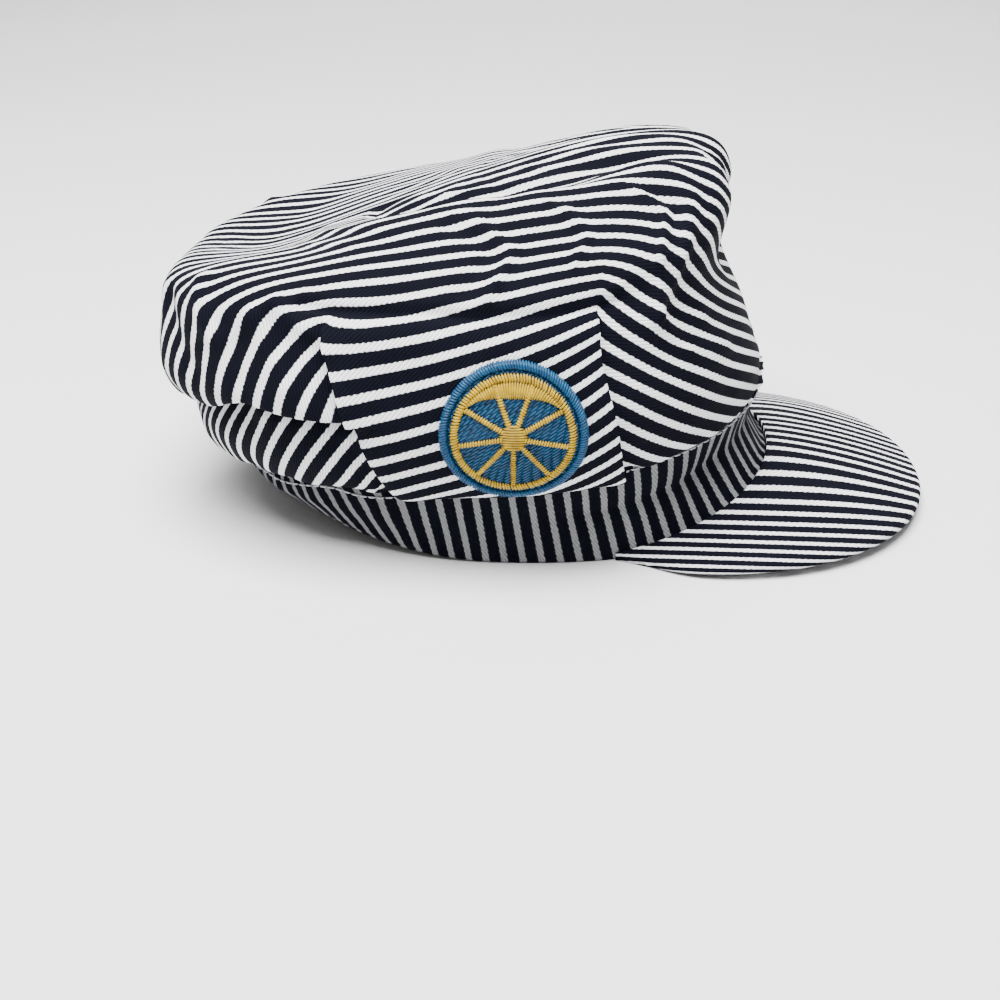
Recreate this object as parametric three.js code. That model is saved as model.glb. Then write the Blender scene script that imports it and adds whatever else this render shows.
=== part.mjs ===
// Railroad engineer cap of striped cotton twill, lying on its band as it would on a table.
// Millimetres, +Z up. +X is the way the visor points, -Y is the side with the embroidered badge.
// The crown is one hollow cloth shell, lofted through eight rings and folded by short tables.
import * as THREE from "three";

// Driving dimensions of the head band
const BAND_FRONT = 97;          // reach of the lower band edge in front of the origin
const BAND_REAR = 88;           // and behind it, where the band turns under
const BAND_HALF_WIDTH = 77;     // half the outside width of the lower band edge
const SEAM_FRONT = 93.5;        // the same sizes for the band's top seam
const SEAM_REAR = 98;
const SEAM_HALF_WIDTH = 76;
const BAND_HEIGHT = 30;         // height of the band's cloth beside the badge
const BAND_SQUARENESS = 2.35;   // exponent of the front half's oval
const NAPE_ROUNDNESS = 2;       // exponent of the rear half's oval
const FRONT_ARCH = 16;          // rise of the lower edge over the forehead
const NAPE_LIFT = 16;           // rise of the lower edge at the nape
const NAPE_START = 84;          // degrees from the front at which that rise starts

// Driving dimensions of the crown
const CROWN_HALF_LENGTH = 103;  // half length at its widest ring
const CROWN_HALF_WIDTH = 90;    // half width at its widest ring
const CROWN_TOP = 126;          // height of the front edge of the top above the table
const CROWN_SET_BACK = 14;      // how far the middle of the crown lies behind the origin

// Cloth and clearances
const CLOTH = 1.8;              // folded twill of the crown
const BAND_CLOTH = 2.2;         // doubled twill of the band
const SWEATBAND_CLOTH = 1.2;
const SWEATBAND_SHOW = 3;       // how far the sweatband shows below the middle of the front arch
const CLEARANCE = 0.35;         // gap between pieces that are sewn together
const SWEATBAND_CLEARANCE = 0.5;
const WHEEL_CLEARANCE = 0.5;    // gap under the embroidered wheel, over cloth that bends

// Visor
const VISOR_CHORD_SHARE = 0.935; // distance between its two corners, as a share of the band's width
const VISOR_HALF_CHORD = VISOR_CHORD_SHARE * BAND_HALF_WIDTH;
const VISOR_REACH = 56;         // how far it stands out in front of the band
const VISOR_HALF_WIDTH = 84;    // half of its greatest width
const VISOR_CENTRE = 75;        // where along X it is widest
const VISOR_TAIL = 48;          // half axis of its outline behind the widest place
const VISOR_SQUARENESS = 2.1;
const VISOR_THICKNESS = 3;
const VISOR_END = 116;          // degrees from the tip at which the outline reaches its corner
const VISOR_TIP_LIFT = 3.5;     // how far the tip's underside is off the table
const VISOR_FALL = 1.5;         // how late it curves down towards its edge

// Badge
const BADGE_RADIUS = 22.5;
const BADGE_BORDER = 2.6;       // width of the overlocked border
const BADGE_THICKNESS = 1.1;
const BORDER_THICKNESS = 1.9;
const BADGE_ANGLE = -83;        // place on the crown: direction from the front, in degrees
const BADGE_SEAM_MARGIN = 12.15; // cloth between its edge and the seam on the band
const WHEEL_RADIUS = 19.1;      // embroidered wheel on the badge
const WHEEL_RIM = 2.4;
const WHEEL_HUB = 4.2;
const WHEEL_SPOKE = 1.5;
const WHEEL_SPOKES = 9;
const WHEEL_THICKNESS = 0.9;
const WEIGHT_DEPTH = 5;         // counterweight inside the rim
const WEIGHT_SPAN = 112;        // degrees that it covers

// Fineness of the faceted cloth
const CROWN_COLUMNS = 76;
const CROWN_ROWS = 20;
const BAND_COLUMNS = 76;
const BAND_ROWS = 4;
const SWEATBAND_ROWS = 3;       // rows of the band that the sweatband is as tall as

// Rings of the crown above its seam with the band. Reaches are shares of the crown's half length
// (front, rear) and half width (near, far); heights are shares of its top. From the side to the
// front or rear the height changes with the cosine to the power climb.
const RINGS = [
  { name: "tuck", front: 0.755, rear: 1.135, near: 0.945, far: 0.97, square: 2.4, climb: 2, zFront: 0.400, zNear: 0.235, zRear: 0.190, zFar: 0.260 },
  { name: "belly", front: 0.700, rear: 1.240, near: 1.020, far: 1.00, square: 2.5, climb: 2, zFront: 0.540, zNear: 0.395, zRear: 0.365, zFar: 0.440 },
  { name: "flank", front: 0.600, rear: 1.255, near: 0.965, far: 0.98, square: 2.55, climb: 2, zFront: 0.730, zNear: 0.570, zRear: 0.525, zFar: 0.635 },
  { name: "shoulder", front: 0.630, rear: 1.200, near: 0.845, far: 0.89, square: 2.55, climb: 1.6, zFront: 0.905, zNear: 0.720, zRear: 0.660, zFar: 0.780 },
  { name: "roof", front: 0.520, rear: 0.920, near: 0.500, far: 0.630, square: 2.6, climb: 1.3, zFront: 0.995, zNear: 0.862, zRear: 0.680, zFar: 0.860 },
  { name: "crest", front: 0.215, rear: 0.580, near: 0.245, far: 0.355, square: 2.2, climb: 1.2, zFront: 0.985, zNear: 0.875, zRear: 0.775, zFar: 0.892 },
];
const CENTRE = { front: 0.06, z: 0.885 };

// Height of the band and bulge of its middle, as shares of the band's height, by angle from the front
const BAND_SECTIONS = [
  { angle: 0, height: 0.97, bulge: -0.20 },
  { angle: 34, height: 1.03, bulge: -0.20 },
  { angle: 60, height: 1.08, bulge: -0.03 },
  { angle: 90, height: 0.90, bulge: 0.00 },
  { angle: 118, height: 0.58, bulge: 0.06 },
  { angle: 139, height: 0.33, bulge: 0.13 },
  { angle: 157, height: 0.27, bulge: 0.13 },
  { angle: 180, height: 0.30, bulge: 0.10 },
];

// Pleats: the cloth on one side of a line laps over the other. The line runs between two places on
// the crown, each a direction in degrees and a level in rings; height and fade are in millimetres.
// The cloth stands up on the left of the line, seen from outside, and both sides of the cap have it.
const PLEATS = [
  { name: "front pleat", fromAngle: 64.5, fromLevel: 3.5, toAngle: 62.5, toLevel: 0, height: 3.0, fade: 22 },
  { name: "rear pleat", fromAngle: 101, fromLevel: 0, toAngle: 113, toLevel: 3.3, height: 3.2, fade: 24 },
  { name: "nape fold", fromAngle: 108, fromLevel: 2.1, toAngle: 165, toLevel: 2.25, height: 4.5, fade: 20 },
];

// Creases: ridges (height above 0) and grooves (below 0) between two such places; sides says
// whether the near side alone has it (-1), the far side alone (1) or both (0).
const CREASES = [
  { name: "shoulder crease", sides: -1, fromAngle: 116, fromLevel: 3.85, toAngle: 51, toLevel: 3.5, width: 5, height: -1.8 },
  { name: "far shoulder crease", sides: 1, fromAngle: 123, fromLevel: 3.7, toAngle: 66, toLevel: 3.9, width: 6, height: -1.5 },
  { name: "roof ridge", sides: -1, fromAngle: 128, fromLevel: 5.15, toAngle: 43, toLevel: 4.95, width: 8, height: 2.0 },
  { name: "roof hollow", sides: -1, fromAngle: 121, fromLevel: 5.75, toAngle: 48, toLevel: 5.6, width: 9, height: -3.2 },
  { name: "front corner", sides: 0, fromAngle: 52, fromLevel: 3.1, toAngle: 44, toLevel: 5.0, width: 6, height: 1.8 },
  { name: "front gutter", sides: 0, fromAngle: 44, fromLevel: 2.9, toAngle: 38, toLevel: 4.6, width: 8, height: -1.6 },
  { name: "brow dent", sides: 0, fromAngle: 12, fromLevel: 4.6, toAngle: 9, toLevel: 3.2, width: 10, height: -4.0 },
  { name: "nape hollow", sides: 0, fromAngle: 114, fromLevel: 1.85, toAngle: 148, toLevel: 1.95, width: 6, height: -2.5 },
];

const radians = (degrees) => degrees * Math.PI / 180;
const mix = (a, b, share) => a + (b - a) * share;
const clamp = (value, low, high) => Math.min(high, Math.max(low, value));
const smooth = (low, high, value) => {
  const share = clamp((value - low) / (high - low), 0, 1);
  return share * share * (3 - 2 * share);
};
// A place on an oval with its own reach to each side; turn is a direction from +X, before the
// oval is stretched to its reaches.
function oval(turn, { front, rear, near, far, squareFront, squareRear }) {
  const [c, s] = [Math.cos(turn), Math.sin(turn)];
  const square = c > 0 ? squareFront : squareRear;
  const radius = (Math.abs(c) ** square + Math.abs(s) ** square) ** (-1 / square);
  return [(c > 0 ? front : rear) * c * radius, (s > 0 ? far : near) * s * radius];
}

// Rows of a table read between its angles, smoothly, for any turn.
function readSections(column, turn) {
  const angle = Math.abs(Math.atan2(Math.sin(turn), Math.cos(turn))) * 180 / Math.PI;
  const next = BAND_SECTIONS.findIndex((row, index) => index > 0 && angle <= row.angle + 1e-6);
  const [a, b] = [BAND_SECTIONS[next - 1], BAND_SECTIONS[next]];
  return mix(a[column], b[column], smooth(a.angle, b.angle, angle));
}

// Lower edge of the band, share 0, and its top seam, share 1, with the height between them.
function bandPlan(turn, share, inset = 0) {
  const half = mix(BAND_HALF_WIDTH, SEAM_HALF_WIDTH, share) - inset;
  return oval(turn, {
    front: mix(BAND_FRONT, SEAM_FRONT, share) - inset, rear: mix(BAND_REAR, SEAM_REAR, share) - inset,
    near: half, far: half, squareFront: BAND_SQUARENESS, squareRear: NAPE_ROUNDNESS,
  });
}
const frontArch = (turn) => {
  const [x, y] = bandPlan(turn, 0);
  return x > 0 ? Math.max(0, 1 - (y / VISOR_HALF_CHORD) ** 2) : 0;
};
function lowerEdge(turn) {
  const angle = Math.abs(Math.atan2(Math.sin(turn), Math.cos(turn)));
  return FRONT_ARCH * frontArch(turn) + NAPE_LIFT * smooth(radians(NAPE_START), Math.PI, angle);
}
function bandPoint(turn, share, inset = 0) {
  const [x, y] = bandPlan(turn, share, inset);
  const bulge = BAND_HEIGHT * readSections("bulge", turn) * (1 - Math.abs(2 * share - 1) ** 1.25);
  const far = 1 + bulge / Math.hypot(x, y);
  return new THREE.Vector3(x * far, y * far, lowerEdge(turn) + BAND_HEIGHT * readSections("height", turn) * share);
}

// Ring number 0 is the seam on the band, 1 to 6 are the table's, and 7 is the middle of the top.
const TOP_LEVEL = RINGS.length + 1;
function ringPoint(index, turn) {
  if (index >= TOP_LEVEL) {
    return new THREE.Vector3(CENTRE.front * CROWN_HALF_LENGTH - CROWN_SET_BACK, 0, CENTRE.z * CROWN_TOP);
  }
  if (index <= 0) {
    return bandPoint(turn, 1).add(new THREE.Vector3(0, 0, CLEARANCE));
  }
  const row = RINGS[index - 1];
  const [c, s] = [Math.cos(turn), Math.sin(turn)];
  const [x, y] = oval(turn, {
    front: row.front * CROWN_HALF_LENGTH + CROWN_SET_BACK, rear: row.rear * CROWN_HALF_LENGTH - CROWN_SET_BACK,
    near: row.near * CROWN_HALF_WIDTH, far: row.far * CROWN_HALF_WIDTH,
    squareFront: row.square, squareRear: row.square,
  });
  const z = mix(s > 0 ? row.zFar : row.zNear, c > 0 ? row.zFront : row.zRear, Math.abs(c) ** row.climb);
  return new THREE.Vector3(x, y, z * CROWN_TOP);
}

// Smooth crown before its folds: a Catmull-Rom curve through the rings at one turn.
function plainCrown(turn, level) {
  const at = clamp(Math.floor(level), 0, TOP_LEVEL - 1);
  const f = level - at;
  const p = [-1, 0, 1, 2].map((step) => ringPoint(clamp(at + step, 0, TOP_LEVEL), turn));
  if (at === 0) {
    p[0] = p[1].clone().multiplyScalar(2).sub(p[2]);
  }
  if (at === TOP_LEVEL - 1) {
    p[3] = ringPoint(TOP_LEVEL - 1, turn + Math.PI);
  }
  const weights = [-f + 2 * f * f - f ** 3, 2 - 5 * f * f + 3 * f ** 3, f + 4 * f * f - 3 * f ** 3, -f * f + f ** 3];
  const sum = new THREE.Vector3();
  p.forEach((point, index) => sum.addScaledVector(point, weights[index] / 2));
  return sum;
}

// Millimetres on the cloth from a direction and a level, for the widths of folds.
const LEVEL_STEP = 0.2 * CROWN_HALF_LENGTH;
const ringRadius = (level) => 0.95 * CROWN_HALF_LENGTH * Math.min(1, (TOP_LEVEL - level) / 2.6);
function clothPlace(angle, level) {
  return new THREE.Vector2(radians(angle) * ringRadius(level), level * LEVEL_STEP);
}

// Distance from a fold's line and the side of it that a place on its own side of the cap lies on.
function foldDistance(row, angle, level) {
  const from = clothPlace(row.fromAngle, row.fromLevel);
  const to = clothPlace(row.toAngle, row.toLevel);
  const place = clothPlace(angle, level);
  const line = to.clone().sub(from);
  const along = clamp(place.clone().sub(from).dot(line) / line.lengthSq(), 0, 1);
  const apart = place.clone().sub(from).addScaledVector(line, -along);
  return { apart: apart.length(), left: Math.sign(line.x * apart.y - line.y * apart.x) };
}
function foldHeight(turn, level) {
  const side = Math.sin(turn) > 0 ? 1 : -1;
  const angle = Math.abs(Math.atan2(Math.sin(turn), Math.cos(turn))) * 180 / Math.PI;
  let height = 0;
  for (const row of PLEATS) {
    const { apart, left } = foldDistance(row, angle, level);
    const reach = apart * left;
    height += row.height * smooth(-2, 2, reach) * Math.exp(-Math.max(reach, 0) / row.fade)
      * pleatWindow(row, angle, level);
  }
  for (const row of CREASES) {
    if (row.sides === 0 || row.sides === side) {
      height += row.height * Math.exp(-((foldDistance(row, angle, level).apart / row.width) ** 2));
    }
  }
  return height * smooth(0, 0.6, level);
}

// A pleat fades out past the ends of its line.
function pleatWindow(row, angle, level) {
  const from = clothPlace(row.fromAngle, row.fromLevel);
  const to = clothPlace(row.toAngle, row.toLevel);
  const line = to.clone().sub(from);
  const along = clothPlace(angle, level).sub(from).dot(line) / line.lengthSq();
  return smooth(-0.25, 0.15, along) * smooth(1.2, 0.95, along);
}

// Outward normal of a surface function of two parameters.
function normalOf(surface, u, v, du, dv) {
  const alongU = surface(u + du, v).sub(surface(u - du, v));
  const alongV = surface(u, v + dv).sub(surface(u, v - dv));
  return alongU.cross(alongV).normalize();
}
const crownNormal = (turn, level) =>
  normalOf(plainCrown, turn, clamp(level, 0.05, TOP_LEVEL - 0.15), 0.03, 0.05);
function crownPoint(turn, level) {
  return plainCrown(turn, level).addScaledVector(crownNormal(turn, level), foldHeight(turn, level));
}

// Closed mesh from rings of points: each ring joins the next, and the last ring joins the first.
function ringSolid(rings) {
  const columns = rings[0].length;
  const positions = rings.flat().flatMap((point) => point.toArray());
  const faces = [];
  rings.forEach((ring, row) => {
    const next = (row + 1) % rings.length;
    for (let column = 0; column < columns; column += 1) {
      const beside = (column + 1) % columns;
      const [a, b, c, d] = [row * columns + column, row * columns + beside, next * columns + beside, next * columns + column];
      faces.push(a, b, c, a, c, d);
    }
  });
  return geometryFrom(positions, faces);
}

function geometryFrom(positions, faces) {
  const geometry = new THREE.BufferGeometry();
  geometry.setAttribute("position", new THREE.Float32BufferAttribute(positions, 3));
  geometry.setIndex(faces);
  geometry.computeVertexNormals();
  return geometry;
}

const turns = (count) => Array.from({ length: count }, (_, index) => index * 2 * Math.PI / count);

// Crown: outer and inner wall, each ending in one point at the middle of the top. The wall's
// thickness is level at the seam, so that its edge lies flat on the band's rim.
function crownGeometry() {
  const columns = turns(CROWN_COLUMNS);
  const levels = Array.from({ length: CROWN_ROWS }, (_, row) => row * TOP_LEVEL / CROWN_ROWS);
  const inward = (turn, level) => {
    const normal = crownNormal(turn, level);
    normal.z *= smooth(0, 0.6, level);
    return normal.normalize();
  };
  const wall = (depth) => levels.map((level) => columns.map((turn) =>
    crownPoint(turn, level).addScaledVector(inward(turn, level), -depth)));
  const points = [...wall(0), ...wall(CLOTH)].flat();
  const rows = levels.length;
  const top = crownPoint(0, TOP_LEVEL);
  points.push(top, top.clone().sub(new THREE.Vector3(0, 0, CLOTH)));
  const faces = [];
  const quad = (a, b, c, d) => faces.push(a, b, c, a, c, d);
  for (let column = 0; column < CROWN_COLUMNS; column += 1) {
    const beside = (column + 1) % CROWN_COLUMNS;
    const outer = (row, at) => row * CROWN_COLUMNS + at;
    const inner = (row, at) => (rows + row) * CROWN_COLUMNS + at;
    for (let row = 0; row < rows - 1; row += 1) {
      quad(outer(row, column), outer(row, beside), outer(row + 1, beside), outer(row + 1, column));
      quad(inner(row, beside), inner(row, column), inner(row + 1, column), inner(row + 1, beside));
    }
    quad(inner(0, column), inner(0, beside), outer(0, beside), outer(0, column));
    faces.push(outer(rows - 1, column), outer(rows - 1, beside), points.length - 2);
    faces.push(inner(rows - 1, beside), inner(rows - 1, column), points.length - 1);
  }
  return geometryFrom(points.flatMap((point) => point.toArray()), faces);
}

// Rows of points up the band's wall, some way inside its outer face.
function bandWall(rows, inset) {
  return Array.from({ length: rows + 1 }, (_, row) =>
    turns(BAND_COLUMNS).map((turn) => bandPoint(turn, row / BAND_ROWS, inset)));
}

// Band: outer wall up, top rim, inner wall down, with its two creases.
function bandGeometry() {
  return ringSolid([...bandWall(BAND_ROWS, 0), ...bandWall(BAND_ROWS, BAND_CLOTH).reverse()]);
}

// Sweatband: a thinner strip inside the band that shows a little under its front arch.
function sweatbandGeometry() {
  const wall = (inset) => {
    const rows = bandWall(SWEATBAND_ROWS, inset);
    rows[0].forEach((point, index) => {
      point.z -= SWEATBAND_SHOW * frontArch(turns(BAND_COLUMNS)[index]);
    });
    return rows;
  };
  const outside = BAND_CLOTH + SWEATBAND_CLEARANCE;
  return ringSolid([...wall(outside), ...wall(outside + SWEATBAND_CLOTH).reverse()]);
}

// Visor outline and surface: side runs from -1 to 1 across, out from 0 at the band to 1 at the edge.
function visorEdge(side) {
  const angle = radians(VISOR_END) * side;
  const reach = BAND_FRONT + VISOR_REACH - VISOR_CENTRE;
  const [x, y] = oval(angle, {
    front: reach, rear: VISOR_TAIL, near: VISOR_HALF_WIDTH, far: VISOR_HALF_WIDTH,
    squareFront: VISOR_SQUARENESS, squareRear: VISOR_SQUARENESS,
  });
  return new THREE.Vector2(VISOR_CENTRE + x, y);
}
function visorSeam(side) {
  const y = side * VISOR_HALF_CHORD;
  const x = BAND_FRONT * (1 - Math.abs(y / BAND_HALF_WIDTH) ** BAND_SQUARENESS) ** (1 / BAND_SQUARENESS);
  const slope = new THREE.Vector2(
    x ** (BAND_SQUARENESS - 1) / BAND_FRONT ** BAND_SQUARENESS,
    Math.sign(y) * Math.abs(y) ** (BAND_SQUARENESS - 1) / BAND_HALF_WIDTH ** BAND_SQUARENESS,
  ).normalize();
  return new THREE.Vector2(x, y).addScaledVector(slope, CLEARANCE);
}
function visorPoint(side, out, lift) {
  const plan = visorSeam(side).lerp(visorEdge(side), out);
  const open = 1 - side * side;
  const tip = VISOR_TIP_LIFT * open;
  const fall = 1 - out ** VISOR_FALL;
  return new THREE.Vector3(plan.x, plan.y, tip + (FRONT_ARCH * open - tip) * fall + lift);
}
function visorGeometry() {
  const [across, outward] = [36, 7];
  const section = (side) => [
    ...Array.from({ length: outward + 1 }, (_, step) => visorPoint(side, step / outward, VISOR_THICKNESS)),
    ...Array.from({ length: outward + 1 }, (_, step) => visorPoint(side, 1 - step / outward, 0)),
  ];
  const sections = Array.from({ length: across + 1 }, (_, step) => section(2 * step / across - 1));
  const count = sections[0].length;
  const faces = [];
  for (let row = 0; row < across; row += 1) {
    for (let column = 0; column < count; column += 1) {
      const beside = (column + 1) % count;
      const [a, b, c, d] = [row * count + column, row * count + beside, (row + 1) * count + beside, (row + 1) * count + column];
      faces.push(a, b, c, a, c, d);
    }
  }
  for (const [row, flip] of [[0, true], [across, false]]) {
    for (let step = 0; step < outward; step += 1) {
      const corners = [step, step + 1, count - 2 - step, count - 1 - step].map((index) => row * count + index);
      const [a, b, c, d] = flip ? corners.reverse() : corners;
      faces.push(a, b, c, a, c, d);
    }
  }
  return geometryFrom(sections.flat().flatMap((point) => point.toArray()), faces);
}

// Level that lies a distance up the cloth from the seam, at one turn.
function levelAbove(turn, distance) {
  const step = 0.05;
  let [level, walked] = [0, 0];
  while (level < TOP_LEVEL - step) {
    const length = crownPoint(turn, level + step).distanceTo(crownPoint(turn, level));
    if (walked + length >= distance) {
      return level + step * (distance - walked) / length;
    }
    level += step;
    walked += length;
  }
  return level;
}

// Badge places: x and y in millimetres on its face become a place on the crown, found by a few
// Newton steps on the turn and the level, then lifted off the cloth along its normal.
const badgeTurn = radians(BADGE_ANGLE);
const badgeLevel = levelAbove(badgeTurn, BADGE_SEAM_MARGIN + BADGE_RADIUS);
const badgeCentre = crownPoint(badgeTurn, badgeLevel);
const badgeNormal = normalOf(crownPoint, badgeTurn, badgeLevel, 0.1, 0.5);
const badgeRight = new THREE.Vector3(1, 0, 0).addScaledVector(badgeNormal, -badgeNormal.x).normalize();
const badgeUp = badgeNormal.clone().cross(badgeRight);
function badgePoint(x, y, lift) {
  let [turn, level] = [badgeTurn, badgeLevel];
  const miss = (someTurn, someLevel) => {
    const offset = crownPoint(someTurn, someLevel).sub(badgeCentre);
    return [offset.dot(badgeRight) - x, offset.dot(badgeUp) - y];
  };
  for (let pass = 0; pass < 6; pass += 1) {
    const [e, f] = miss(turn, level);
    const step = 0.01;
    const [eu, fu] = miss(turn + step, level).map((value, index) => (value - [e, f][index]) / step);
    const [ev, fv] = miss(turn, level + step).map((value, index) => (value - [e, f][index]) / step);
    const area = eu * fv - ev * fu;
    turn -= (e * fv - f * ev) / area;
    level -= (f * eu - e * fu) / area;
  }
  return crownPoint(turn, level).addScaledVector(badgeNormal, lift);
}
function badgeRings(sections, count) {
  return ringSolid(sections.map(([radius, lift]) => turns(count).map((turn) =>
    badgePoint(radius * Math.cos(turn), radius * Math.sin(turn), lift))));
}

// Overlocked border with a rounded back, seven-sided in section.
function borderGeometry() {
  const middle = BADGE_RADIUS - BADGE_BORDER / 2;
  const half = BORDER_THICKNESS / 2;
  const sections = Array.from({ length: 7 }, (_, index) => {
    const around = -index * 2 * Math.PI / 7;
    return [middle + BADGE_BORDER / 2 * Math.cos(around), CLEARANCE + half + half * Math.sin(around)];
  });
  return badgeRings(sections.reverse(), 40);
}

// Flat closed pad on the badge: an outline with windows, as two faces and the walls between them.
function padGeometry(outline, windows, bottom, top) {
  const loops = [outline, ...windows];
  const flat = THREE.ShapeUtils.triangulateShape(outline, windows);
  const points = loops.flat();
  const positions = [top, bottom].flatMap((lift) =>
    points.flatMap((point) => badgePoint(point.x, point.y, lift).toArray()));
  const below = points.length;
  const faces = flat.flatMap(([a, b, c]) => [a, b, c, below + a, below + c, below + b]);
  let start = 0;
  for (const loop of loops) {
    loop.forEach((_, index) => {
      const [a, b] = [start + index, start + (index + 1) % loop.length];
      faces.push(a, below + a, below + b, a, below + b, b);
    });
    start += loop.length;
  }
  return geometryFrom(positions, faces);
}
const polar = (radius, angle) => new THREE.Vector2(radius * Math.cos(angle), radius * Math.sin(angle));
const circle = (radius, count) => turns(count).map((angle) => polar(radius, angle));

// Ground of the badge: rings of points inside the border.
function groundGeometry() {
  const edge = BADGE_RADIUS - BADGE_BORDER - CLEARANCE;
  const radii = [0.25, 0.5, 0.75, 1].map((share) => share * edge);
  const count = 32;
  const layer = (lift) => [badgePoint(0, 0, lift), ...radii.flatMap((radius) =>
    circle(radius, count).map((point) => badgePoint(point.x, point.y, lift)))];
  const top = layer(CLEARANCE + BADGE_THICKNESS);
  const points = [...top, ...layer(CLEARANCE)];
  const below = top.length;
  const faces = [];
  const at = (ring, column) => 1 + ring * count + column % count;
  for (let column = 0; column < count; column += 1) {
    faces.push(0, at(0, column), at(0, column + 1), below, below + at(0, column + 1), below + at(0, column));
    for (let ring = 0; ring < radii.length - 1; ring += 1) {
      const [a, b, c, d] = [at(ring, column), at(ring + 1, column), at(ring + 1, column + 1), at(ring, column + 1)];
      faces.push(a, b, c, a, c, d, below + a, below + c, below + b, below + a, below + d, below + c);
    }
    const [a, b] = [at(radii.length - 1, column), at(radii.length - 1, column + 1)];
    faces.push(a, below + a, below + b, a, below + b, b);
  }
  return geometryFrom(points.flatMap((point) => point.toArray()), faces);
}

// Embroidered wheel: rim, hub, an odd number of spokes and a counterweight, cut as windows.
function wheelGeometry() {
  const rim = WHEEL_RADIUS - WHEEL_RIM;
  const halfWeight = radians(WEIGHT_SPAN) / 2;
  const outerRadius = (angle) => {
    const off = Math.abs(Math.atan2(Math.sin(angle - Math.PI / 2), Math.cos(angle - Math.PI / 2)));
    return off < halfWeight ? rim - WEIGHT_DEPTH * Math.cos(off / halfWeight * Math.PI / 2) : rim;
  };
  const windows = turns(WHEEL_SPOKES).map((spoke) => {
    const span = 2 * Math.PI / WHEEL_SPOKES;
    const arc = (radiusAt, count) => Array.from({ length: count + 1 }, (_, step) => {
      const middle = radiusAt(spoke + span / 2);
      const half = span / 2 - Math.asin(WHEEL_SPOKE / 2 / middle);
      const angle = spoke + span / 2 + mix(-half, half, step / count);
      return polar(radiusAt(angle), angle);
    });
    const outer = arc(outerRadius, 5);
    const inner = arc(() => WHEEL_HUB, 2).reverse();
    const side = (a, b) => [1, 2, 3].map((step) => a.clone().lerp(b, step / 4));
    return [...outer, ...side(outer.at(-1), inner[0]), ...inner, ...side(inner.at(-1), outer[0])].reverse();
  });
  const bottom = CLEARANCE + BADGE_THICKNESS + WHEEL_CLEARANCE;
  return padGeometry(circle(WHEEL_RADIUS, 45), windows, bottom, bottom + WHEEL_THICKNESS);
}

function piece(name, geometry, color, roughness) {
  const mesh = new THREE.Mesh(geometry, new THREE.MeshStandardMaterial({ color, roughness, metalness: 0 }));
  mesh.name = name;
  return mesh;
}

const NAVY = 0x1b1e33;
const cap = new THREE.Group();
cap.add(
  piece("crown", crownGeometry(), NAVY, 0.9),
  piece("band", bandGeometry(), NAVY, 0.9),
  piece("sweatband", sweatbandGeometry(), 0x15161c, 0.95),
  piece("visor", visorGeometry(), NAVY, 0.9),
  piece("badge_ground", groundGeometry(), 0x1f5f96, 0.6),
  piece("badge_border", borderGeometry(), 0x1a6f9c, 0.6),
  piece("badge_wheel", wheelGeometry(), 0xd9bb45, 0.55),
);

// The frame's origin is the middle of the outside box, on the table.
const box = new THREE.Box3().setFromObject(cap);
cap.position.set(-(box.min.x + box.max.x) / 2, -(box.min.y + box.max.y) / 2, -box.min.z);

export default cap;
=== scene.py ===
"""Railroad engineer cap of striped cotton twill: its folded cloth, stitching and embroidered badge.

Lengths are in millimetres until a mesh is made. +X is the way the visor points, -Y is the side
with the badge. A place on the crown is a turn (an angle from +X) and a level, counted in rings
from the seam on the band, 0, to the middle of the top, 7.
"""

import bpy
import numpy as np
from mathutils import Matrix, Vector


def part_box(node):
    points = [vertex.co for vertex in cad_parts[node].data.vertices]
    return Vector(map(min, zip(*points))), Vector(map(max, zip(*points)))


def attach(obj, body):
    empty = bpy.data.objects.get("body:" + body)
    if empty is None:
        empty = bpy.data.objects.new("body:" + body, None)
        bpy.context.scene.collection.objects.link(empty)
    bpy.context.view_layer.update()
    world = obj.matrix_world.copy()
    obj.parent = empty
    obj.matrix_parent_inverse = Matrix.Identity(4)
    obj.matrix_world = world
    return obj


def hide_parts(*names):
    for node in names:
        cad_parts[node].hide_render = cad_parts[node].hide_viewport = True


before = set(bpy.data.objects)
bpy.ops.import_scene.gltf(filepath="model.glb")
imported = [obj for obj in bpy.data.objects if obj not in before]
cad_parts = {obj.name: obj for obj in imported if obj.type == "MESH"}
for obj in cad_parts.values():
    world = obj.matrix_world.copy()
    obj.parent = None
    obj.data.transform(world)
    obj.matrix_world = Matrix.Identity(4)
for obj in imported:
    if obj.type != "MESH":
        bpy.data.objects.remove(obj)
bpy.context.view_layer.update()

# Head band
BAND_FRONT = 97
BAND_REAR = 88
BAND_HALF_WIDTH = 77
SEAM_FRONT = 93.5
SEAM_REAR = 98
SEAM_HALF_WIDTH = 76
BAND_HEIGHT = 30
BAND_SQUARENESS = 2.35
NAPE_ROUNDNESS = 2
FRONT_ARCH = 16
NAPE_LIFT = 16
NAPE_START = 84

# Crown
CROWN_HALF_LENGTH = 103
CROWN_HALF_WIDTH = 90
CROWN_TOP = 126
CROWN_SET_BACK = 14

# Cloth and clearances
CLOTH = 1.8
BAND_CLOTH = 2.2
SWEATBAND_CLOTH = 1.2
SWEATBAND_SHOW = 3
SWEATBAND_SHARE = 0.75      # of the band's height
CLEARANCE = 0.35
SWEATBAND_CLEARANCE = 0.5
WHEEL_CLEARANCE = 0.5

# Visor
VISOR_HALF_CHORD = 0.935 * BAND_HALF_WIDTH
VISOR_REACH = 56
VISOR_HALF_WIDTH = 84
VISOR_CENTRE = 75
VISOR_TAIL = 48
VISOR_SQUARENESS = 2.1
VISOR_THICKNESS = 3
VISOR_END = 116
VISOR_TIP_LIFT = 3.5
VISOR_FALL = 1.5
VISOR_EASE = 1.9            # sideways give of its stripes for each millimetre of height

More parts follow.
